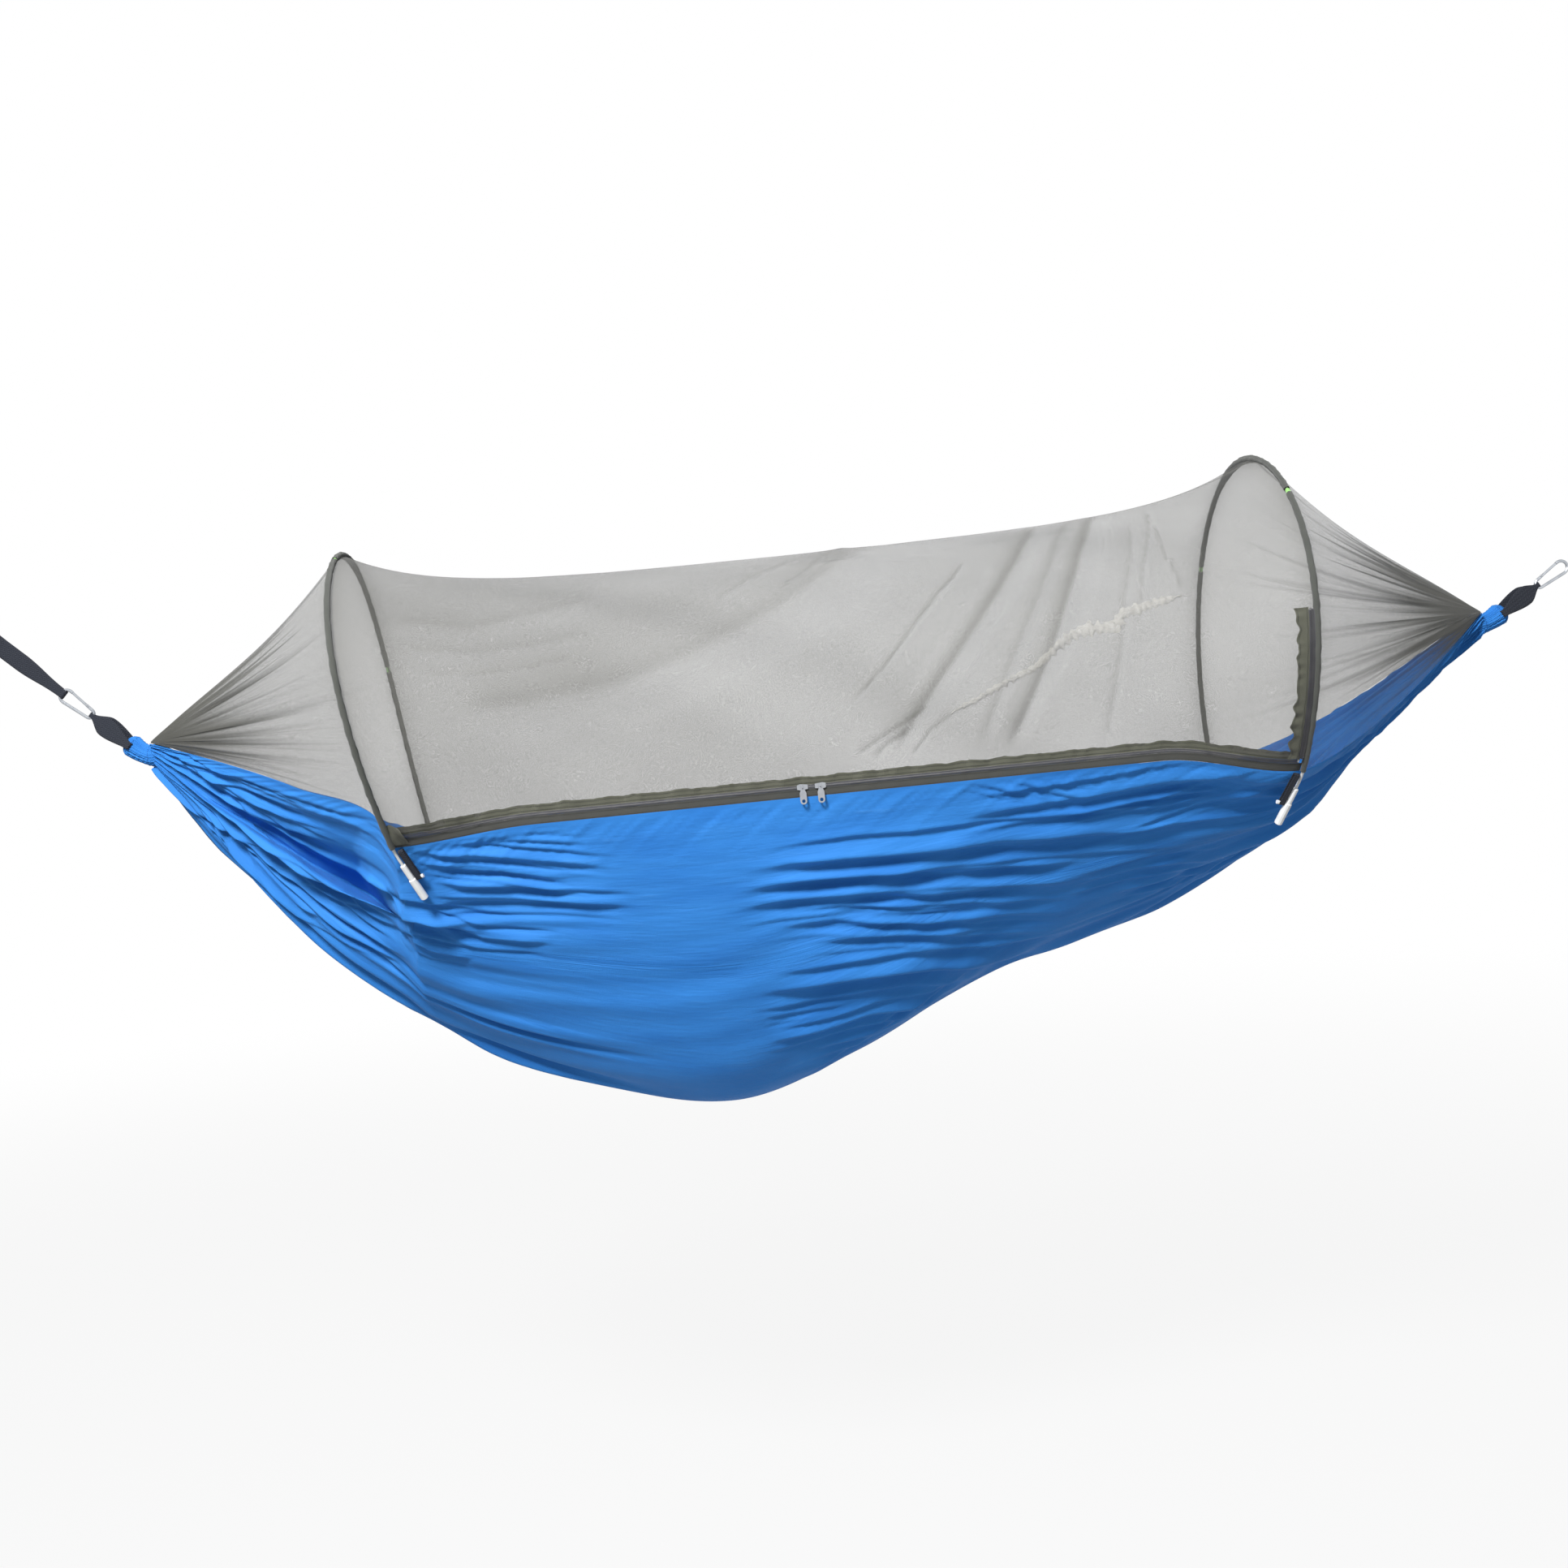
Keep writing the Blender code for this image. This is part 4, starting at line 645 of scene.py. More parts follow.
# The side of the left cone is drawn in between its rim and the strand below, up to the flap at the foot.
# In millimetres, the strand's points are (along, up) and the flap's are (up, along).
dent = {
    "depth": 0.13, "start": -1.12, "full": -0.79, "swell": 0.012,
    "strand": (-1165, 203, -1062, 113, -946, 27, -820, -50, -738, -105, -650, -151),
    "flap": (-160, -690, -115, -715, -75, -745, -40, -768, 10, -766, 60, -755),
}
fittingRoom = {"inset": 0.02, "drop": 0.055, "halfLength": 0.065, "halfHeight": 0.08, "setIn": 0.0015}


def crease(points, line, height, width):
    # A step in the cloth along a line: it stands out above, drops in at the line and comes back slowly below.
    far, side, along = lineDistance(points, line)
    reach = smoothStep(along / 0.2) * smoothStep((1 - along) / 0.25)
    fall = np.exp(-far / np.where(side > 0, 0.7 * width, 1.5 * width))
    return bedFolds["creaseGain"] * height * reach * np.tanh(far * side / (0.3 * width)) * fall


def creaseWork(grid):
    # What all the creases add on the near side and below.
    front = np.nonzero(grid[:, :, 1].ravel() < 0.02)[0]
    flat = grid[:, :, (0, 2)].reshape(-1, 2)
    added = np.zeros(len(flat))
    for height, thick, *spots in bedCreases:
        height, thick, line = height / 1000, thick / 1000, inMetres(spots)
        low, high = np.min(line, axis=0) - 6 * thick, np.max(line, axis=0) + 6 * thick
        mine = front[((flat[front] > low) & (flat[front] < high)).all(axis=1)]
        for shift, part, slim in bedFolds["creaseParts"]:
            beside = line + (0.6 * shift * thick, shift * thick)
            added[mine] += crease(flat[mine], beside, part * height, thick * slim)
    return added.reshape(grid.shape[:2])


def fanFolds(x, across, width, window):
    # Long folds that run out from each gather, deeper on the far side.
    count = bedFolds["count"]
    fade = smoothStep((np.abs(x) - 0.3) / 0.5)
    height = np.minimum(bedFolds["gatherHeight"], 0.8 * width / count) * fade * window
    nearShare = np.where(x < 0, 0.5, bedFolds["nearShare"] + 0.4 * smoothStep((x - 0.62) / 0.2))
    height *= between(nearShare, bedFolds["farShare"], smoothStep((across - 0.36) / 0.2))
    drift = 0.5 * np.sin(2.2 * x + 0.8) + 0.35 * wavy(across * 1.7, 8)
    fold = np.abs(((count * across + drift + np.where(x < 0, 0.0, 0.4)) % 1.0) * 2 - 1)
    second = np.abs(((1.9 * count * across + 1.7 * drift) % 1.0) * 2 - 1)
    uneven = 0.8 + 0.35 * wavy(across * 2.1 + 0.3 * x, 9)
    return height * uneven * (smoothStep(fold) * 2 - 1 + 0.4 * (smoothStep(second) * 2 - 1))


def coneDent(grid, near):
    # How far the near side is drawn in, and where.
    x, z = grid[:, :, 0], grid[:, :, 2]
    strand = np.interp(x, *inMetres(dent["strand"]).T)
    flap = np.interp(z, *inMetres(dent["flap"]).T)
    rim = np.array([edgePoint(min(px, 0.0), -1)[2] for px in grid[:, 0, 0]])[:, None]
    room = np.maximum(rim - strand, 0.02)
    down = (rim - z) / room
    under = np.clip(down - 0.22, 0, 1) ** 1.2 * 1.35
    above = smoothStep((1.0 - down) / 0.05)
    along = np.clip((x - dent["start"]) / (dent["full"] - dent["start"]), 0, 1) ** 1.4
    left = smoothStep((flap - x) / 0.028)
    swell = dent["swell"] * bell(x - flap, 0.022, 0.03) * smoothStep((x - flap) / 0.012)
    inside = near * under * above * along * left
    return near * (swell * under * above) - dent["depth"] * inside, inside


def foldedBed():
    rows, columns = bedFolds["rows"], bedFolds["columns"]
    stations = np.interp(np.linspace(0, 1, rows), (0, 0.4, 1), (0, 0.27, 1))  # closer rows at the dented cone
    grid = np.array([bedSection(t, columns) for t in stations])
    outward = -gridNormals(grid)
    across = np.linspace(0, 1, columns)[None, :] * np.ones((rows, 1))
    near = (across < 0.5) * 1.0
    x = grid[:, :, 0].mean(axis=1)[:, None] * np.ones((1, columns))
    width = np.linalg.norm(np.diff(grid, axis=1), axis=2).sum(axis=1)[:, None]
    window = np.sin(math.pi * across) ** 0.5
    turned = smoothStep((np.abs(outward[:, :, 1]) - 0.1) / 0.4)  # folds are low where the bed turns under
    atFoot = near * bell(x, -0.72, 0.07)
    lift = fanFolds(x, across, width, window) * (0.3 + 0.7 * turned) * (1 - 0.7 * atFoot)
    # Shallow puckers all over, longer along the bed than across it, and fine ones under the zip.
    calm = 1 - 0.6 * bell(x, -0.25, 0.3)
    pucker = wavy(across * 3 + 0.2 * np.sin(3 * x), 3)
    lift += bedFolds["crumple"] * window * calm * pucker * wavy(x * 0.35 + across, 4)
    hem = np.exp(-np.minimum(across, 1 - across) * width / 0.035)
    lift += bedFolds["hem"] * hem * smoothStep(across * 60) * wavy(x * 9 + across * 14, 5)
    inward, inside = coneDent(grid, near)
    lift *= 1 - 0.8 * inside
    nearSide = smoothStep((0.02 - grid[:, :, 1]) / 0.03)  # the creases end just past the lowest line
    lift += creaseWork(grid) * smoothStep(across * 40) * (1 - 0.8 * inside) * turned * nearSide
    for hoop in hoops.values():
        # Room for the far end fittings, also where the hoops lean.
        foot = hoopPoint(hoop, 0.0, hoop["footHalf"])
        alongGap = (x - foot[0] + hoop["side"] * fittingRoom["inset"]) / fittingRoom["halfLength"]
        upGap = (grid[:, :, 2] - foot[2] + fittingRoom["drop"]) / fittingRoom["halfHeight"]
        room = (1 - near) * np.exp(-(alongGap ** 2 + upGap ** 2) ** 3)
        lift = lift * (1 - room) - fittingRoom["setIn"] * room
    moved = grid + outward * lift[:, :, None]
    moved[:, :, 1] -= inward
    moved[:, :, 0] -= inward * (x + 0.2) / 2.7  # the hollow runs in along the photo's line of sight
    return moved


print("bed")
bedCloth = settle(clothGrid("bedCloth", foldedBed(), blueNylon), "bed_fabric", "hammock")

sleeve = {"radius": 0.0048, "gap": 0.014, "bunch": 0.0005, "ring": 14, "step": 0.006,
          "crown": {"left": 0.0012, "right": 0.0024}, "crownHalf": 0.13}


def hoopLine(hoop, count, nearLow=0.0, farLow=0.0):
    # A line up the near leg, over the top and down the far leg, from given heights above the feet.
    def half(low):
        heights = np.linspace(low, hoop["shoulder"], 24, endpoint=False)
        under = (hoop["shoulder"] - heights) / hoop["shoulder"]
        found = list(zip(heights, hoop["half"] - (hoop["half"] - hoop["footHalf"]) * under ** 2))
        angles = np.linspace(0, math.pi / 2, 48)
        return found + list(zip(hoop["shoulder"] + hoop["crown"] * np.sin(angles), hoop["half"] * np.cos(angles)))
    near = [hoopPoint(hoop, height, -across) for height, across in half(nearLow)]
    far = [hoopPoint(hoop, height, across) for height, across in half(farLow)]
    return evenLine(near + far[::-1][1:], count)


def addSleeves(name, hoop):
    line = hoopLine(hoop, 600)
    run = runLength(line)
    total = run[-1]
    near, far = (share * total for share in hoop["ferrules"])
    half = sleeve["gap"] / 2
    angles = np.arange(sleeve["ring"]) * math.tau / sleeve["ring"]
    for label, start, end in (("near", 0, near - half), ("top", near + half, far - half), ("far", far + half, total)):
        places = np.linspace(start, end, max(30, int((end - start) / sleeve["step"])))
        bunching = wavy(places[:, None] * 18 + angles[None] * 0.16, 11) + 0.6 * wavy(places[:, None] * 60, 12)
        crown = sleeve["crown"][name] * bell(places, total / 2, sleeve["crownHalf"], 4)
        radii = sleeve["radius"] + sleeve["bunch"] * bunching + crown[:, None]
        tube = clothTube("rodSleeve_%s_%s" % (name, label), pointsAt(line, run, places), radii, sleeveCloth)
        settle(tube, "rod_sleeve_%s_%s" % (name, label), "hoop_%s" % name)


print("hoops")
for name, hoop in hoops.items():
    addSleeves(name, hoop)

net = {
    "gap": 0.0012, "neckShare": 0.21, "crownFade": 0.14, "columns": 260, "centreRows": 300,
    "coneColumns": 640, "coneRows": 100, "coneDraw": 1.2, "flat": (0.75, 1.3), "coneFlat": (0.6, 1.35),
    "coneArea": 0.5, "hollow": 0.08, "ripple": 0.006, "apexSetIn": 0.003, "apexHeight": 0.007,
    "seam": 0.009, "seamIn": 0.004, "blend": 0.3, "coneBlend": 0.15,
}
band = {"lower": 0.0115, "row": 0.0021, "slit": 0.0012, "upper": 0.0115, "clear": 0.0003}
band["teeth"] = net["gap"] + band["lower"] + band["clear"] + band["row"] + band["slit"] / 2
band["top"] = band["teeth"] + band["slit"] / 2 + band["row"] + band["clear"] + band["upper"]
band["height"] = band["top"] + net["gap"]


def zipPoint(x, height):
    # A point of the near side above the bed's edge, where the zip band leans out with the hoops' legs.
    hoop = hoopAt(x)
    lean = float(towardFoot(x, legReach(hoop, -1))) * height
    out = 2 * (hoop["half"] - hoop["footHalf"]) / hoop["shoulder"]
    along = hoop["side"] * 2 * hoop["lean"] / (hoop["shoulder"] + hoop["crown"])
    return edgePoint(x, -1) + np.array((along * lean, -out * lean, height))


def sewnIn(across):
    # The net is sewn on with its edge behind the tape and the rims.
    return np.array((0, -across * net["seamIn"], -net["seam"]))


# Folds of the middle net's near side: height and width in millimetres, how far the threads are drawn together (above 0
# this also paints a dark band of shade along the fold), and the points (along, up) in millimetres.
netFolds = (
    (14, 20, 0.17, 378, 438, 320, 379, 290, 345, 242, 290, 199, 243, 147, 183, 104, 127, 71, 73),
    (8, 14, 0.08, 434, 445, 377, 385, 335, 323, 285, 243, 248, 173, 205, 72),
    (14, 18, 0.18, 487, 449, 440, 410, 400, 356, 356, 279, 320, 205, 286, 139, 248, 63),
    (14, 45, 0.1, 112, 434, 85, 421, -10, 362, -83, 318, -162, 284, -240, 256, -342, 228, -466, 216, -612, 207),
    (6, 5, 0.16, 227, 374, 142, 294, 65, 211, 11, 161),
    (3, 8, 0.07, 508, 424, 448, 279, 422, 156, 404, 58),
    (3, 5, 0.08, 553, 448, 489, 328, 464, 239),
    (3, 5, 0.08, 535, 406, 528, 337, 536, 285),
    (4, 6, 0.12, 133, 149, 79, 120, 13, 82),
    (4, 6, 0.12, 172, 135, 130, 109, 100, 73),
    (4, 8, 0.1, 98, 115, 65, 97, 42, 76),
    (4, 20, 0.05, -692, 362, -558, 334, -460, 352, -358, 368),
    (4, 12, 0.045, -666, 312, -558, 295, -459, 298, -373, 310),
    (3, 6, 0.05, -643, 272, -548, 261, -474, 264, -400, 272),
    (3, 8, 0.05, -181, 342, -113, 380, -27, 409),
    (3, 8, 0.05, -80, 341, -7, 387, 56, 437),
    (0, 22, -0.045, -397, 172, -218, 216, -90, 256, 45, 316, 119, 372),
    (0, 12, -0.04, 276, 368, 218, 298, 143, 213, 85, 148),
    (0, 10, -0.04, 470, 410, 412, 320, 360, 224, 313, 141),
)

# The pale pleat that climbs the near side: half width at shares of its length, in metres, and its
# points (along, up) in millimetres.
tuck = {
    "widths": ((0, 0.06, 0.3, 0.45, 0.6, 0.75, 0.94, 1), (0.001, 0.004, 0.005, 0.006, 0.0095, 0.0085, 0.006, 0.001)),
    "count": 170, "across": 9, "puff": 0.003, "off": 0.001, "ripple": 0.0012, "from": 0.12, "to": 0.58, "below": 0.33,
    "line": (164, 131, 170, 136, 205, 149, 226, 160, 253, 172, 299, 190, 336, 219, 358, 232, 385, 240, 429, 240,
        442, 259, 479, 267, 535, 278),
}

# Threads that are drawn together where the cones run into the necks.
strands = {
    "count": 130, "place": (0.015, 0.985), "drift": (-0.03, 0.03), "reach": (0.0, 0.75), "width": (0.0013, 0.0042),
    "depth": (0.25, 0.95), "seeds": {"left": 71, "right": 83},
}


def pulledIn(points, amount):
    # Points drawn towards the long axis of the hammock.
    centre = points.copy()
    centre[..., 1] = 0
    centre[..., 2] = bed["edgeHeight"] + bed["halfWidth"] / 3
    return between(points, centre, amount[..., None])


def centreNet():
    # The smooth net from hoop to hoop, held down to the zip and the far rim.
    rows, columns = net["centreRows"], net["columns"]
    left, right = hoops["left"], hoops["right"]
    start, end = (hoopLine(hoop, columns, band["height"], net["gap"]) for hoop in (left, right))
    nearX, farX = (np.linspace(-legReach(left, across), legReach(right, across), rows) for across in (-1, 1))
    t = np.linspace(0, 1, columns)
    nearHold, farHold = (np.maximum(0, hold)[:, None] ** 1.5 for hold in (1 - 2.4 * t, 2.4 * t - 1.4))
    grid = []
    for one, two in zip(nearX, farX):
        s = (one - nearX[0]) / (nearX[-1] - nearX[0])
        span = between(start, end, s)
        near = zipPoint(one, band["height"]) + sewnIn(-1) - span[0]
        far = edgePoint(two, 1) + sewnIn(1) - span[-1]
        held = nearHold * near + farHold * far
        fromHoop = np.minimum(span[:, 0] - start[:, 0], end[:, 0] - span[:, 0])
        neck = net["neckShare"] * (1 - np.exp(-np.maximum(fromHoop, 0) / net["crownFade"]))
        grid.append(pulledIn(span + held, neck * np.sin(math.pi * t) ** 0.7))
    return np.array(grid)


def netFoldWork(grid):
    # How far the folds stand out from the net, and how its threads are drawn together by them, which also darkens a
    # band along each fold as painted shade.
    lift, gather = np.zeros(grid.shape[:2]), np.zeros(grid.shape[:2])
    near = slice(0, grid.shape[1] * 11 // 20)
    flat = grid[:, near][:, :, (0, 2)].reshape(-1, 2)
    shape = grid[:, near].shape[:2]
    for height, width, drawn, *spots in netFolds:
        far, side, along = lineDistance(flat, inMetres(spots))
        reach = smoothStep(along / 0.12) * smoothStep((1 - along) / 0.12)
        signed = far * side / (width / 1000)
        lift[:, near] += (height / 1000 * reach * bell(signed, 0, 1)).reshape(shape)
        edged = smoothStep(0.5 + signed * 1.6) * np.exp(-np.maximum(signed, 0) / 0.8) - 0.25 * bell(signed, -0.9, 0.5)
        pull = drawn * reach * (3.4 * edged if drawn > 0 else 2.2 * bell(signed, 0, 1))
        gather[:, near] += pull.reshape(shape)
    return lift, gather


def foldedNet():
    # The net with its folds, and how far its threads are drawn together, which also sets where the net is painted
    # darker as shade.
    cloth = centreNet()
    normals = gridNormals(cloth)
    lift, gather = netFoldWork(cloth)
    run = np.linspace(0, 1, len(cloth))[:, None] * np.ones(lift.shape)
    across = np.linspace(0, 1, cloth.shape[1])[None, :] * np.ones(lift.shape)
    toHoop = np.minimum(run, 1 - run)
    rims = np.sin(math.pi * across) ** 0.5 * np.minimum(1, 8 * toHoop)
    rims *= 1 - 0.95 * bell(across, 0.5, 0.13, 4)
    lift += 0.0035 * wavy(across * 3 + 1.2 * run, 61) * wavy(run * 1.5 + across, 62)
    soft = 0.04 * wavy(across * 2.2 - 1.6 * run, 63, low=1, high=3) * (1 - smoothStep((0.35 - run) / 0.3) * 0.6)
    # Painted shade over the net's left half, except just above the zip; the threads also bunch right at the hoops.
    soft += 0.12 * smoothStep((0.5 - run) / 0.4) * smoothStep((across - 0.08) / 0.16) + 0.35 * np.exp(-toHoop / 0.012)
    roofSeam = 0.5 * bell(across, 0.428, 0.005)
    return cloth + normals * (lift * rims)[:, :, None], np.maximum(gather + soft, -0.09) + roofSeam


def netTuck(cloth):
    # A ruffled ribbon that lies on the net.
    spots = evenLine(np.insert(inMetres(tuck["line"]), 1, 0, axis=1), tuck["count"])[:, (0, 2)]
    ways = unit(np.gradient(spots, axis=0))
    ups = np.stack((-ways[:, 1], ways[:, 0]), axis=1)
    run, share = np.linspace(0, 1, tuck["count"]), np.linspace(-1, 1, tuck["across"])
    half = np.interp(run, *tuck["widths"]) * (1 + 0.3 * wavy(run * 7, 66))
    low = 1 + 0.3 * wavy(run * 11, 67)
    sideways = half[:, None] * np.where(share < 0, share * low[:, None], share)
    place = spots[:, None] + ups[:, None] * sideways[..., None]
    under = cloth[:, :cloth.shape[1] // 2].reshape(-1, 3)
    under = under[(under[:, 0] > tuck["from"]) & (under[:, 0] < tuck["to"]) & (under[:, 2] < tuck["below"])]
    grid = np.zeros(place.shape[:2] + (3,))
    for i, row in enumerate(place):
        for k, (x, z) in enumerate(row):
            gaps = (under[:, 0] - x) ** 2 + (under[:, 2] - z) ** 2
            best = np.argpartition(gaps, 4)[:4]
            grid[i, k] = x, np.average(under[best, 1], weights=1 / (gaps[best] + 1e-7)), z
    puff = tuck["off"] + tuck["puff"] * (1 - share[None] ** 2) * (0.7 + 0.3 * wavy(run * 9, 68)[:, None])
    grid[:, :, 1] -= puff + tuck["ripple"] * wavy(run[:, None] * 16 + 0.2 * share[None], 69)
    return grid


def strandDensity(t, s, seed):
    # How closely the threads lie across the cone (t) and from its hoop to its neck (s).
    picker = np.random.default_rng(seed)
    total = np.zeros(np.broadcast(t, s).shape)
    for _ in range(strands["count"]):
        draws = (picker.uniform(*strands[k]) for k in ("place", "drift", "reach", "width", "depth"))
        place, drift, reach, width, depth = draws
        bent = place + drift * (1 - s) * (0.5 + 0.5 * np.sin(3 * s + 20 * place))
        fade = np.clip((s - reach) / (1 - reach), 0, 1) ** 1.4
        total += depth * fade * bell(t, bent, width * (0.7 + s))
    return total


def coneNet(hoop):
    # The net from a hoop down to its neck, held to the bed's two edges on the way.
    rows, columns = net["coneRows"], net["coneColumns"]
    start = hoopLine(hoop, columns, net["gap"], net["gap"])
    apex = hoop["side"] * (bed["halfSpan"] - net["apexSetIn"])
    tip = edgePoint(apex, 1)
    half, base = abs(tip[1]), tip[2] + net["gap"]
    t = np.linspace(0, 1, columns)
    angle = math.pi * t
    end = np.stack((np.full(columns, apex), -half * np.cos(angle), base + net["apexHeight"] * np.sin(angle)), axis=1)
    foot = np.array([legReach(hoop, 2 * k - 1) for k in t])
    grid = []
    for i in range(rows):
        share = (i / (rows - 1)) ** net["coneDraw"]
        s = np.minimum(share * (bed["halfSpan"] - foot) / (abs(apex) - foot), 1.0)
        place = between(start, end, s[:, None])
        for across in (-1, 1):
            mine = t < 0.5 if across < 0 else t >= 0.5
            leg, corner = (start[0], end[0]) if across < 0 else (start[-1], end[-1])
            for k in np.nonzero(mine)[0]:
                rim = between(leg, corner, s[k])
                sewn = sewnIn(across) * 0.5 * math.sin(math.pi * min(s[k] * 2, 1))
                hold = edgePoint(rim[0], across) + np.array((0, 0, net["gap"])) + sewn - rim
                place[k] += hold * abs(2 * t[k] - 1) ** 3
        place = pulledIn(place, net["hollow"] * np.sin(math.pi * s) * np.sin(angle))
        fold = np.sin(angle) * np.sin(math.pi * s) ** 0.7 * (0.4 + s)
        place[:, 2] += net["ripple"] * fold * wavy(t * 4.5 + 0.05 * hoop["side"], 21, low=2, high=7)
        grid.append(place)
    return np.array(grid)


print("net")
wholeNet, netGather = foldedNet()
middleRow = len(wholeNet) // 2
for name, rowRange in (("left", slice(0, middleRow + 1)), ("right", slice(middleRow, None))):
    hoop = hoops[name]
    piece = clothGrid("centreNet_" + name, wholeNet[rowRange], greyNet, netGather[rowRange])
    settle(piece, "net_centre")
    "hoop_" + name
    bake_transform(piece)
    pleats = []
    if name == "right":
        pleats = [settle(clothGrid("netTuck", netTuck(wholeNet), paleTuck))]
        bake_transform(pleats[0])
    "rod_" + name + "_top"
    coned = coneNet(hoop)
    toNeck = np.linspace(0, 1, len(coned))[:, None] ** net["coneDraw"]
    across = np.linspace(0, 1, coned.shape[1])[None, :]
    drawn = toNeck ** 4.5 + strandDensity(across, toNeck, strands["seeds"][name])
    drawn += 0.3 * np.exp(-toNeck / 0.02) + 0.45 * bell(across, 0.43, 0.006)
    cone = clothGrid("coneNet_" + name, coned, greyNet, np.clip(drawn, 0, 1.1))
    settle(cone, "net_cone_" + name)
    "hoop_" + name
    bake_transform(cone)
    "rod_" + name + "_top"

zipCloth = {
    "toothPitch": 0.0026, "toothSize": (0.0017, 0.0026, 0.0026), "cordOver": 0.0008, "cordIn": 0.0007,
    "tapeOver": 0.001, "legRoom": 0.0046, "stopRoom": 0.0055, "stations": 900,
    "stitchRows": {"Lower": (1, 5), "Upper": (2, 6)},
}
zipStrips = {
    "zipTapeLower": {
        "node": "zip_tape_lower", "low": net["gap"] - zipCloth["tapeOver"], "high": net["gap"] + band["lower"],
        "material": darkTape, "slot": "tape_cloth", "ruffle": 0.0004, "endGap": -0.0015,
    },
    "zipTapeUpper": {
        "node": "zip_tape_upper", "low": band["top"] - band["upper"], "high": band["top"] + zipCloth["tapeOver"],
        "material": tapeCloth, "slot": "tape_cloth", "ruffle": 0.0016, "endGap": 0.0025, "levels": 9, "edge": 0.0011,
    },
    "zipCordLower": {
        "node": "zip_teeth_lower", "low": band["teeth"] - band["row"] - zipCloth["cordOver"],
        "high": band["teeth"] - zipCloth["cordIn"], "material": toothPlastic, "slot": "tooth_plastic",
    },
    "zipCordUpper": {
        "node": "zip_teeth_upper", "low": band["teeth"] + zipCloth["cordIn"],
        "high": band["teeth"] + band["row"] + zipCloth["cordOver"], "material": toothPlastic, "slot": "tooth_plastic",
    },
}


def zipStrip(name, node, low, high, material, slot, ruffle=0.0, endGap=0.0035, levels=7, edge=0.0):
    # One lengthwise strip of the zip band; its upper edge may be ruffled and uneven.
    room = zipCloth["legRoom"]
    sides = [hoop["side"] * (legReach(hoop, -1) - room - endGap) for hoop in hoops.values()]
    places = np.linspace(sides[0], sides[1], zipCloth["stations"])
    share = np.linspace(0, 1, levels)
    tops = high + edge * wavy(places * 5, 33) + 0.3 * edge * wavy(places * 17, 34)
    grid = np.array([[zipPoint(x, between(low, top, k)) for k in share] for x, top in zip(places, tops)])
    grid[:, :, 1] += ruffle * share[None, :] * (wavy(places * 4, 31) + 0.6 * wavy(places * 13, 32))[:, None]
    settle(clothGrid(name, grid, material), node, "hammock")
    return grid


def zipTeeth(name, node, height, shift):
    # Separate teeth that mesh with the other row's.
    room = zipCloth["legRoom"] + zipCloth["stopRoom"]
    low, high = (hoop["side"] * (legReach(hoop, -1) - room) for hoop in hoops.values())
    xs = np.arange(low + shift * zipCloth["toothPitch"], high, zipCloth["toothPitch"])
    places = np.array([zipPoint(x, height) for x in xs])
    ups = np.array([zipPoint(x, height + 0.01) for x in xs]) - places
    teeth = blockRow(name, places, np.gradient(places, axis=0), ups, zipCloth["toothSize"], toothPlastic)
    settle(teeth, node, "hammock")


print("zip")
stripGrids = {name: zipStrip(name, **strip) for name, strip in zipStrips.items()}
zipTeeth("zipTeethLower", "zip_teeth_lower", band["teeth"] - band["row"] / 2, 0.0)
zipTeeth("zipTeethUpper", "zip_teeth_upper", band["teeth"] + band["row"] / 2, 0.5)
for label, rows in zipCloth["stitchRows"].items():
    for row in rows:
        raised = stripGrids["zipTape" + label][:, row] + np.array((0, -stitch["width"], 0))
        stitchLine("zipStitches%s_%d" % (label, row), raised, (0, -1, 0), "hammock")

# Beside the left foot the end of the tape is turned up against the net.
turnedUp = {"from": -0.712, "to": -0.683, "low": 0.004, "high": 0.037, "out": 0.0035, "lean": 0.006}


def tapeTurnUp():
    # The end of the tape, rolled a little as it stands up.
    grid = []
    for u in np.linspace(0, 1, 26):
        x = between(turnedUp["from"], turnedUp["to"], u)
        top = turnedUp["high"] * (0.82 + 0.18 * math.sin(2.6 * u + 0.5)) + 0.0012 * math.sin(11 * u)
        row = []
        for v in np.linspace(0, 1, 22):
            point = zipPoint(x - turnedUp["lean"] * v, between(turnedUp["low"], top, v))
            roll = 0.005 * math.sin(math.pi * v) + 0.003 * math.sin(7 * u + 2 * v)
            row.append(point - np.array((0, turnedUp["out"] + roll, 0)))
        grid.append(row)
    return np.array(grid)


settle(clothGrid("zipTapeTurnUp", tapeTurnUp(), tapeCloth), body="hammock")

# The second zip climbs the near leg of the right hoop.
zipLeg = {
    "inner": 0.0052, "teeth": 0.0085, "tape": 0.0175, "start": 0.022, "top": 0.2437, "stations": 260,
    "ragged": 0.0024, "topWidth": 0.006, "off": 0.0022, "cordOff": 0.0008,
}


def legStrip(low, high, levels, ragged=0.0, rise=0.0):
    # A strip beside the hoop's leg, with the outward way at each of its stations.
    hoop = hoops["right"]
    line = hoopLine(hoop, 800)[:400]  # the near half
    wanted = np.linspace(zipLeg["start"], zipLeg["top"] + rise, zipLeg["stations"])
    spots = pointsAt(line, line[:, 2] - hoop["foot"], wanted)
    outs = unit(np.cross(unit(np.gradient(spots, axis=0)), (1, 0, 0)))
    outs *= np.where(outs[:, 1] > 0, -1, 1)[:, None]
    share, run = np.linspace(0, 1, levels), np.linspace(0, 1, zipLeg["stations"])
    far = high + ragged * (wavy(run * 1.5, 41) + 0.15 * wavy(run * 4, 42))
    far = far + zipLeg["topWidth"] * np.exp(-(1 - run) / 0.06) * (ragged > 0)
    width = between(low, far[:, None], share[None])
    lift = zipLeg["off"] + ragged * 0.5 * wavy(run * 3, 43)[:, None] * share[None]
    return spots[:, None] + outs[:, None] * lift[..., None] - np.array((1.0, 0, 0)) * width[..., None], outs


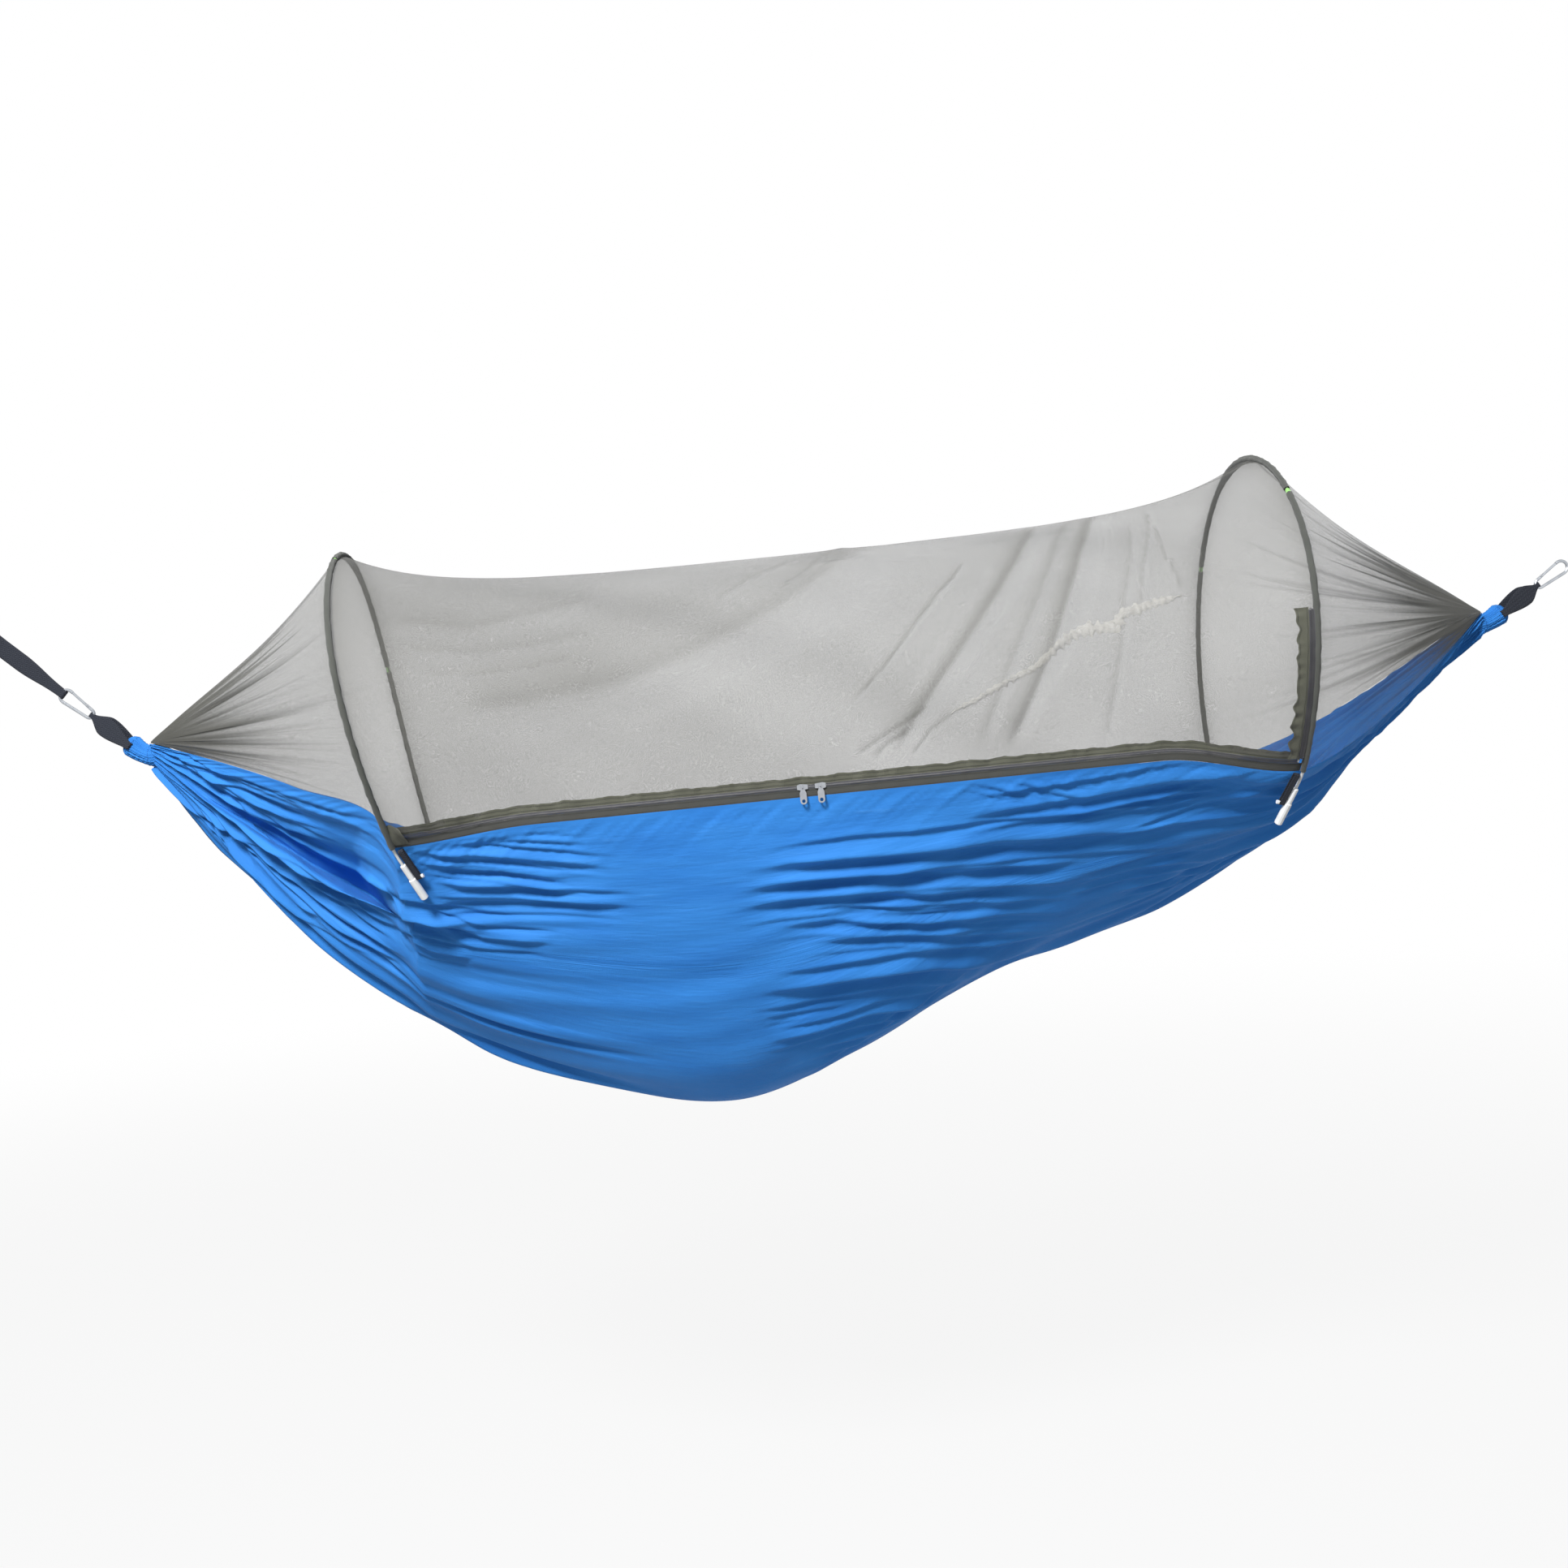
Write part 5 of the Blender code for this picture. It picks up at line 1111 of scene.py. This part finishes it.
edgeTeeth = zipLeg["inner"] + zipLeg["teeth"]
legTape, _ = legStrip(edgeTeeth - 0.0005, edgeTeeth + zipLeg["tape"], 14, zipLeg["ragged"], 0.004)
legCord, legOuts = legStrip(zipLeg["inner"] - 0.001, edgeTeeth, 8)
settle(clothGrid("zipLegTape", legTape, tapeCloth), "zip_leg_tape", "hoop_right")
settle(clothGrid("zipLegCord", legCord, toothPlastic), "zip_leg_teeth", "hoop_right")
for column, shift in ((3, 0.0), (5, 0.5)):
    teethCount = int((zipLeg["top"] - zipLeg["start"]) / zipCloth["toothPitch"])
    line = evenLine(legCord[:, column] + legOuts * zipLeg["cordOff"], teethCount)
    ways = np.gradient(line, axis=0)
    sideways = np.broadcast_to((1.0, 0, 0), line.shape)
    name, places = "zipLegTeeth_%d" % column, line + ways * shift
    teeth = blockRow(name, places, ways, sideways, zipCloth["toothSize"], toothPlastic)
    settle(teeth, "zip_leg_teeth", "hoop_right")
for column in (2, 11):
    outward = legOuts.mean(axis=0)
    stitchLine("zipLegStitches_%d" % column, legTape[:, column] + outward * stitch["width"], outward, "hoop_right")

# From the bed's corners to the pegs of the rod fittings: the peg, the way up to the corner, the peg's own axis.
elastics = {
    "left_near": ((-0.68117, -0.30169, -0.03843), (-0.01854, -0.02521, 0.04323), (0.93763, -0.16332, 0.30688)),
    "left_far": ((-0.73533, 0.29969, -0.03724), (-0.01802, 0.02721, 0.04204), (0.94084, 0.17433, 0.29055)),
    "right_near": ((0.68022, -0.3087, -0.05923), (0.01821, -0.0282, 0.04203), (-0.94084, -0.17433, 0.29055)),
    "right_far": ((0.73545, 0.30884, -0.05905), (0.01812, 0.02806, 0.04185), (-0.94084, 0.17433, 0.29055)),
}
elasticBand = {"ring": 0.0031, "width": 0.009, "thickness": 0.0011}

print("elastics")
for name, (peg, rise, axis) in elastics.items():
    peg, rise, axis = (np.array(v) for v in (peg, rise, axis))
    size = np.linalg.norm(rise)
    along, axis = rise / size, axis / np.linalg.norm(axis)
    axes = (along, np.cross(axis, along), axis)
    loop = beltLine([((0, 0), elasticBand["ring"]), ((size, 0), elasticBand["ring"])])
    piece = webbingBand("elasticLoop_" + name, loop, peg, axes, lambda x: elasticBand["width"],
                        elasticBand["thickness"], count=110)
    settle(piece, "elastic_loop_" + name)
    "hoop_" + name.split("_")[0]
    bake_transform(piece)

suspension = {
    "left": {"place": (-1.19884, 0.0, 0.22019), "out": (-0.73135, 0.0, 0.682), "up": (0.682, 0.0, 0.73135)},
    "right": {"place": (1.20219, 0.0, 0.21573), "out": (0.85717, 0.0, 0.51504), "up": (-0.51504, 0.0, 0.85717)},
}
channel = {
    "neckReach": 1.166, "neckHeight": 0.202, "length": 0.04, "bend": 0.3333, "end": 0.013, "halfHeight": 0.019,
    "halfWidth": 0.0185, "waist": 0.12, "round": 0.85, "pleats": 23, "pleatDepth": 0.16, "ring": 180, "rows": 60,
    "tuckIn": 0.12, "aroundStep": 0.0022, "stitchSize": (0.0016, 0.0006, 0.0006), "stitchOff": 0.02,
    "stitchRows": {"inner": 12, "outer": 38},
}
webbing = {
    "length": 0.092, "corner": 0.0025, "bow": 0.0039, "spread": 0.021, "thickness": 0.0017,
    "widths": ((0.0025, 0.013), (0.057, 0.034), (0.0842, 0.0085), (0.092, 0.0085)),
}
strap = {
    "bowPlace": 0.14918, "length": 0.2, "eye": 0.036, "anchorEye": 0.06, "anchorRadius": 0.009, "anchorOver": 0.0008,
    "width": 0.03, "bowWidth": 0.015, "taper": 0.09, "thickness": 0.0016, "layer": 0.00085,
    "tacks": (0.045, 0.052, 0.122, 0.129), "tackOff": -0.0019, "tackShare": 0.42,
    "tackPitch": 0.0018, "tackLength": 0.0014,
}


def heldAxes(held):
    out, up = np.array(held["out"]), np.array(held["up"])
    return out, np.cross(up, out), up


def channelGrid(side, held):
    # The hem bunched on its webbing: pleats that run out from the bed and close at a rounded mouth.
    sign = hoops[side]["side"]
    place, out = np.array(held["place"]), np.array(held["out"])
    neck = np.array((sign * channel["neckReach"], 0.0, channel["neckHeight"]))
    along = np.array((sign, 0.0, 0.0))
    bend = neck + along * channel["length"] * channel["bend"]
    angles = np.arange(channel["ring"]) * math.tau / channel["ring"]
    turns = angles / math.tau
    grid = []
    for t in np.linspace(-channel["tuckIn"], 1, channel["rows"]):
        u = max(0.0, min(2 * t, 1.0))
        spot = between(between(neck, bend, u), between(bend, place, u), u)
        heading = between(along, out, u)
        swell = 1 - channel["waist"] * math.sin(math.pi * u)
        if t < 0:
            spot = neck + along * t * channel["tuckIn"]
        if t > 0.5:
            u = 2 * t - 1
            spot, heading = place + out * channel["end"] * u, out
            swell = math.sqrt(max(1 - (channel["round"] * u) ** 2, 0.0))
        heading = heading / np.linalg.norm(heading)
        up = np.cross((0, 1, 0), heading)
        up = up if up[2] > 0 else -up
        drift = 0.25 * wavy(turns[None] * 3 + 0.2 * t, 51)[0]
        pleatWave = np.abs(((turns * channel["pleats"] + drift) % 1.0) * 2 - 1)
        ripple = 1.02 - channel["pleatDepth"] * (1 - smoothStep(pleatWave)) * (0.7 + 0.3 * np.cos(3 * angles + t))
        ripple += 0.02 * wavy(turns * 9 + 3 * t, 52)
        grid.append(spot + np.outer(np.cos(angles) * ripple, (0, 1, 0)) * channel["halfWidth"] * swell
                    + np.outer(np.sin(angles) * ripple, up) * channel["halfHeight"] * swell)
    return np.array(grid)


print("suspension")
for side, held in suspension.items():
    grid = channelGrid(side, held)
    rows, ring, _ = grid.shape
    run = np.linspace(0, channel["length"] + channel["end"], rows)
    ends = [tuple(range(ring))[::-1], tuple(range((rows - 1) * ring, rows * ring))]
    clothMap = gridMap(run, np.arange(ring) * channel["aroundStep"])
    hem = addMesh("endChannel_" + side, grid, gridFaces(rows, ring, closed=True) + ends, blueNylon, clothMap)
    settle(hem, "end_channel_" + side, "hammock")
    for label, row in channel["stitchRows"].items():
        spots = grid[row][::3]
        outs = spots - grid[row].mean(axis=0)
        ways = np.roll(spots, -1, axis=0) - np.roll(spots, 1, axis=0)
        name, raised = "channelStitches_%s_%s" % (side, label), spots + outs * channel["stitchOff"]
        seam = blockRow(name, raised, ways, np.cross(outs, ways), channel["stitchSize"], blueThread)
        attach(seam, "hammock")
    corner, spread = webbing["corner"], webbing["spread"]
    circles = [((corner, corner - spread), corner), ((webbing["length"] - webbing["bow"], 0), webbing["bow"]),
               ((corner, spread - corner), corner)]
    loop = webbingBand("webbingLoop_" + side, beltLine(circles), held["place"], heldAxes(held),
                       lambda x: float(smoothKnots(webbing["widths"], x)), webbing["thickness"], count=200)
    settle(loop, "webbing_loop_" + side, "hammock")


def eyeSide(radius, length, tip):
    # Half of an eye: a quarter turn and more round its pin, then straight to where the layers meet.
    tilt = math.asin((radius - tip) / length)
    points = [np.array((math.cos(a), math.sin(a))) * radius for a in np.linspace(math.pi, math.pi / 2 - tilt, 12)]
    closing = np.array((length, 0.0)) + points[-1] / radius * tip
    return points + [between(points[-1], closing, k) for k in np.linspace(0, 1, 9)[1:]]


def strapLine(sign):
    # One of the strap's two layers: round the wide bow, along the run and round the anchor.
    bowMiddle = np.array((strap["bowPlace"], 0.0))
    anchor = np.array((strap["bowPlace"] + strap["length"] - strap["anchorRadius"] + strap["anchorOver"], 0.0))
    bow = [bowMiddle + p for p in eyeSide(webbing["bow"], strap["eye"], strap["layer"])]
    farEye = eyeSide(strap["anchorRadius"], strap["anchorEye"], strap["layer"])[::-1]
    far = [anchor + np.array((-p[0], p[1])) for p in farEye]
    return np.array([(x, sign * y) for x, y in bow + far])


def strapWidth(x):
    return between(strap["bowWidth"], strap["width"], float(smoothStep((x - strap["bowPlace"]) / strap["taper"])))


held = suspension["left"]
axes = heldAxes(held)
whole = np.concatenate((strapLine(1), strapLine(-1)[::-1][1:-1]))
treeStrap = webbingBand("treeStrap", whole, held["place"], axes, strapWidth, strap["thickness"], count=320)
settle(treeStrap, "tree_strap", "hammock")
for place in strap["tacks"]:
    x = strap["bowPlace"] + place
    wide = strapWidth(x) * strap["tackShare"]
    middle = np.array(held["place"]) + axes[0] * x + axes[1] * strap["tackOff"]
    ends = np.array([middle + axes[2] * k for k in (-wide, wide)])
    stitchLine("strapTack_%d" % round(place * 1000), ends, -axes[1], "hammock", strap["tackPitch"], strap["tackLength"])

print("solids")
keptSolids = {  # the longest name that fits counts
    "rod_": paleRod, "ferrule_": limePlastic, "rod_fitting_": whitePlastic, "carabiner_": brightMetal,
    "zip_slider_": brightMetal, "pull_tab_": brightMetal, "zip_stop_": brightMetal,
}
for nodeName, thing in nodes.items():
    found = [start for start in keptSolids if nodeName.startswith(start)]
    if found and not thing.hide_render:
        thing.data.materials.clear()
        thing.data.materials.append(keptSolids[max(found, key=len)])

studio = {
    "floorHeight": -1.86, "floorHalf": 40, "floorColour": (0.45, 0.45, 0.45, 1), "skyStrength": 0.17,
    "nearGlow": 0.9, "farGlow": 0.1, "glowStarts": 2.5, "glowFull": 9.0,
}
lamps = {
    "keyLamp": {"place": (-0.15, -3.65, 2.6), "aim": (1.35, 0, -0.5), "power": 425, "size": 1.1},
    "fillLamp": {"place": (3.6, -2.6, 0.2), "aim": (1.6, 0, -0.6), "power": 9, "size": 2.5},
}


def addFloor():
    mesh = bpy.data.meshes.new("studioFloor")
    half = studio["floorHalf"]
    mesh.from_pydata([(-half, -half, 0), (half, -half, 0), (half, half, 0), (-half, half, 0)], [], [(0, 1, 2, 3)])
    floor = bpy.data.objects.new("studioFloor", mesh)
    floor.location = (0, 0, studio["floorHeight"])
    bpy.context.scene.collection.objects.link(floor)
    # The camera sees it nearly white, and it still takes the hammock's shadow.
    look = Look("paleFloor", Base_Color=studio["floorColour"], Roughness=0.9)
    seen = look.seen()
    glow = look.node("ShaderNodeEmission", {}, {"Color": (1, 1, 1, 1), "Strength": 1.0})[0]
    plain = Wire(look, look.shader.outputs[0])
    away = look.node("ShaderNodeVectorMath", {"operation": "LENGTH"}, {0: look.solidPlace()})[0]
    white = seen * (studio["nearGlow"] + away.step(studio["glowStarts"], studio["glowFull"]) * studio["farGlow"])
    blended = look.node("ShaderNodeMixShader", {}, {0: white, 1: plain, 2: glow})[0]
    look.tree.links.new(blended.socket, look.output.inputs[0])
    mesh.materials.append(look.owner)


def addSky():
    sky = Look("paleStudio", sky=True, Color=(1, 1, 1, 1))
    sky.feed("Strength", studio["skyStrength"] + (1 - studio["skyStrength"]) * sky.seen())
    bpy.context.scene.world = sky.owner


def addLamp(name, place, aim, power, size):
    data = bpy.data.lights.new(name, "AREA")
    data.energy, data.size = power, size
    lamp = bpy.data.objects.new(name, data)
    lamp.location = place
    lamp.rotation_euler = (Vector(aim) - Vector(place)).to_track_quat("-Z", "Y").to_euler()
    bpy.context.scene.collection.objects.link(lamp)


print("studio")
addCamera()
addFloor()
addSky()
for name, lamp in lamps.items():
    addLamp(name, **lamp)
bpy.context.scene.view_settings.view_transform = "Standard"
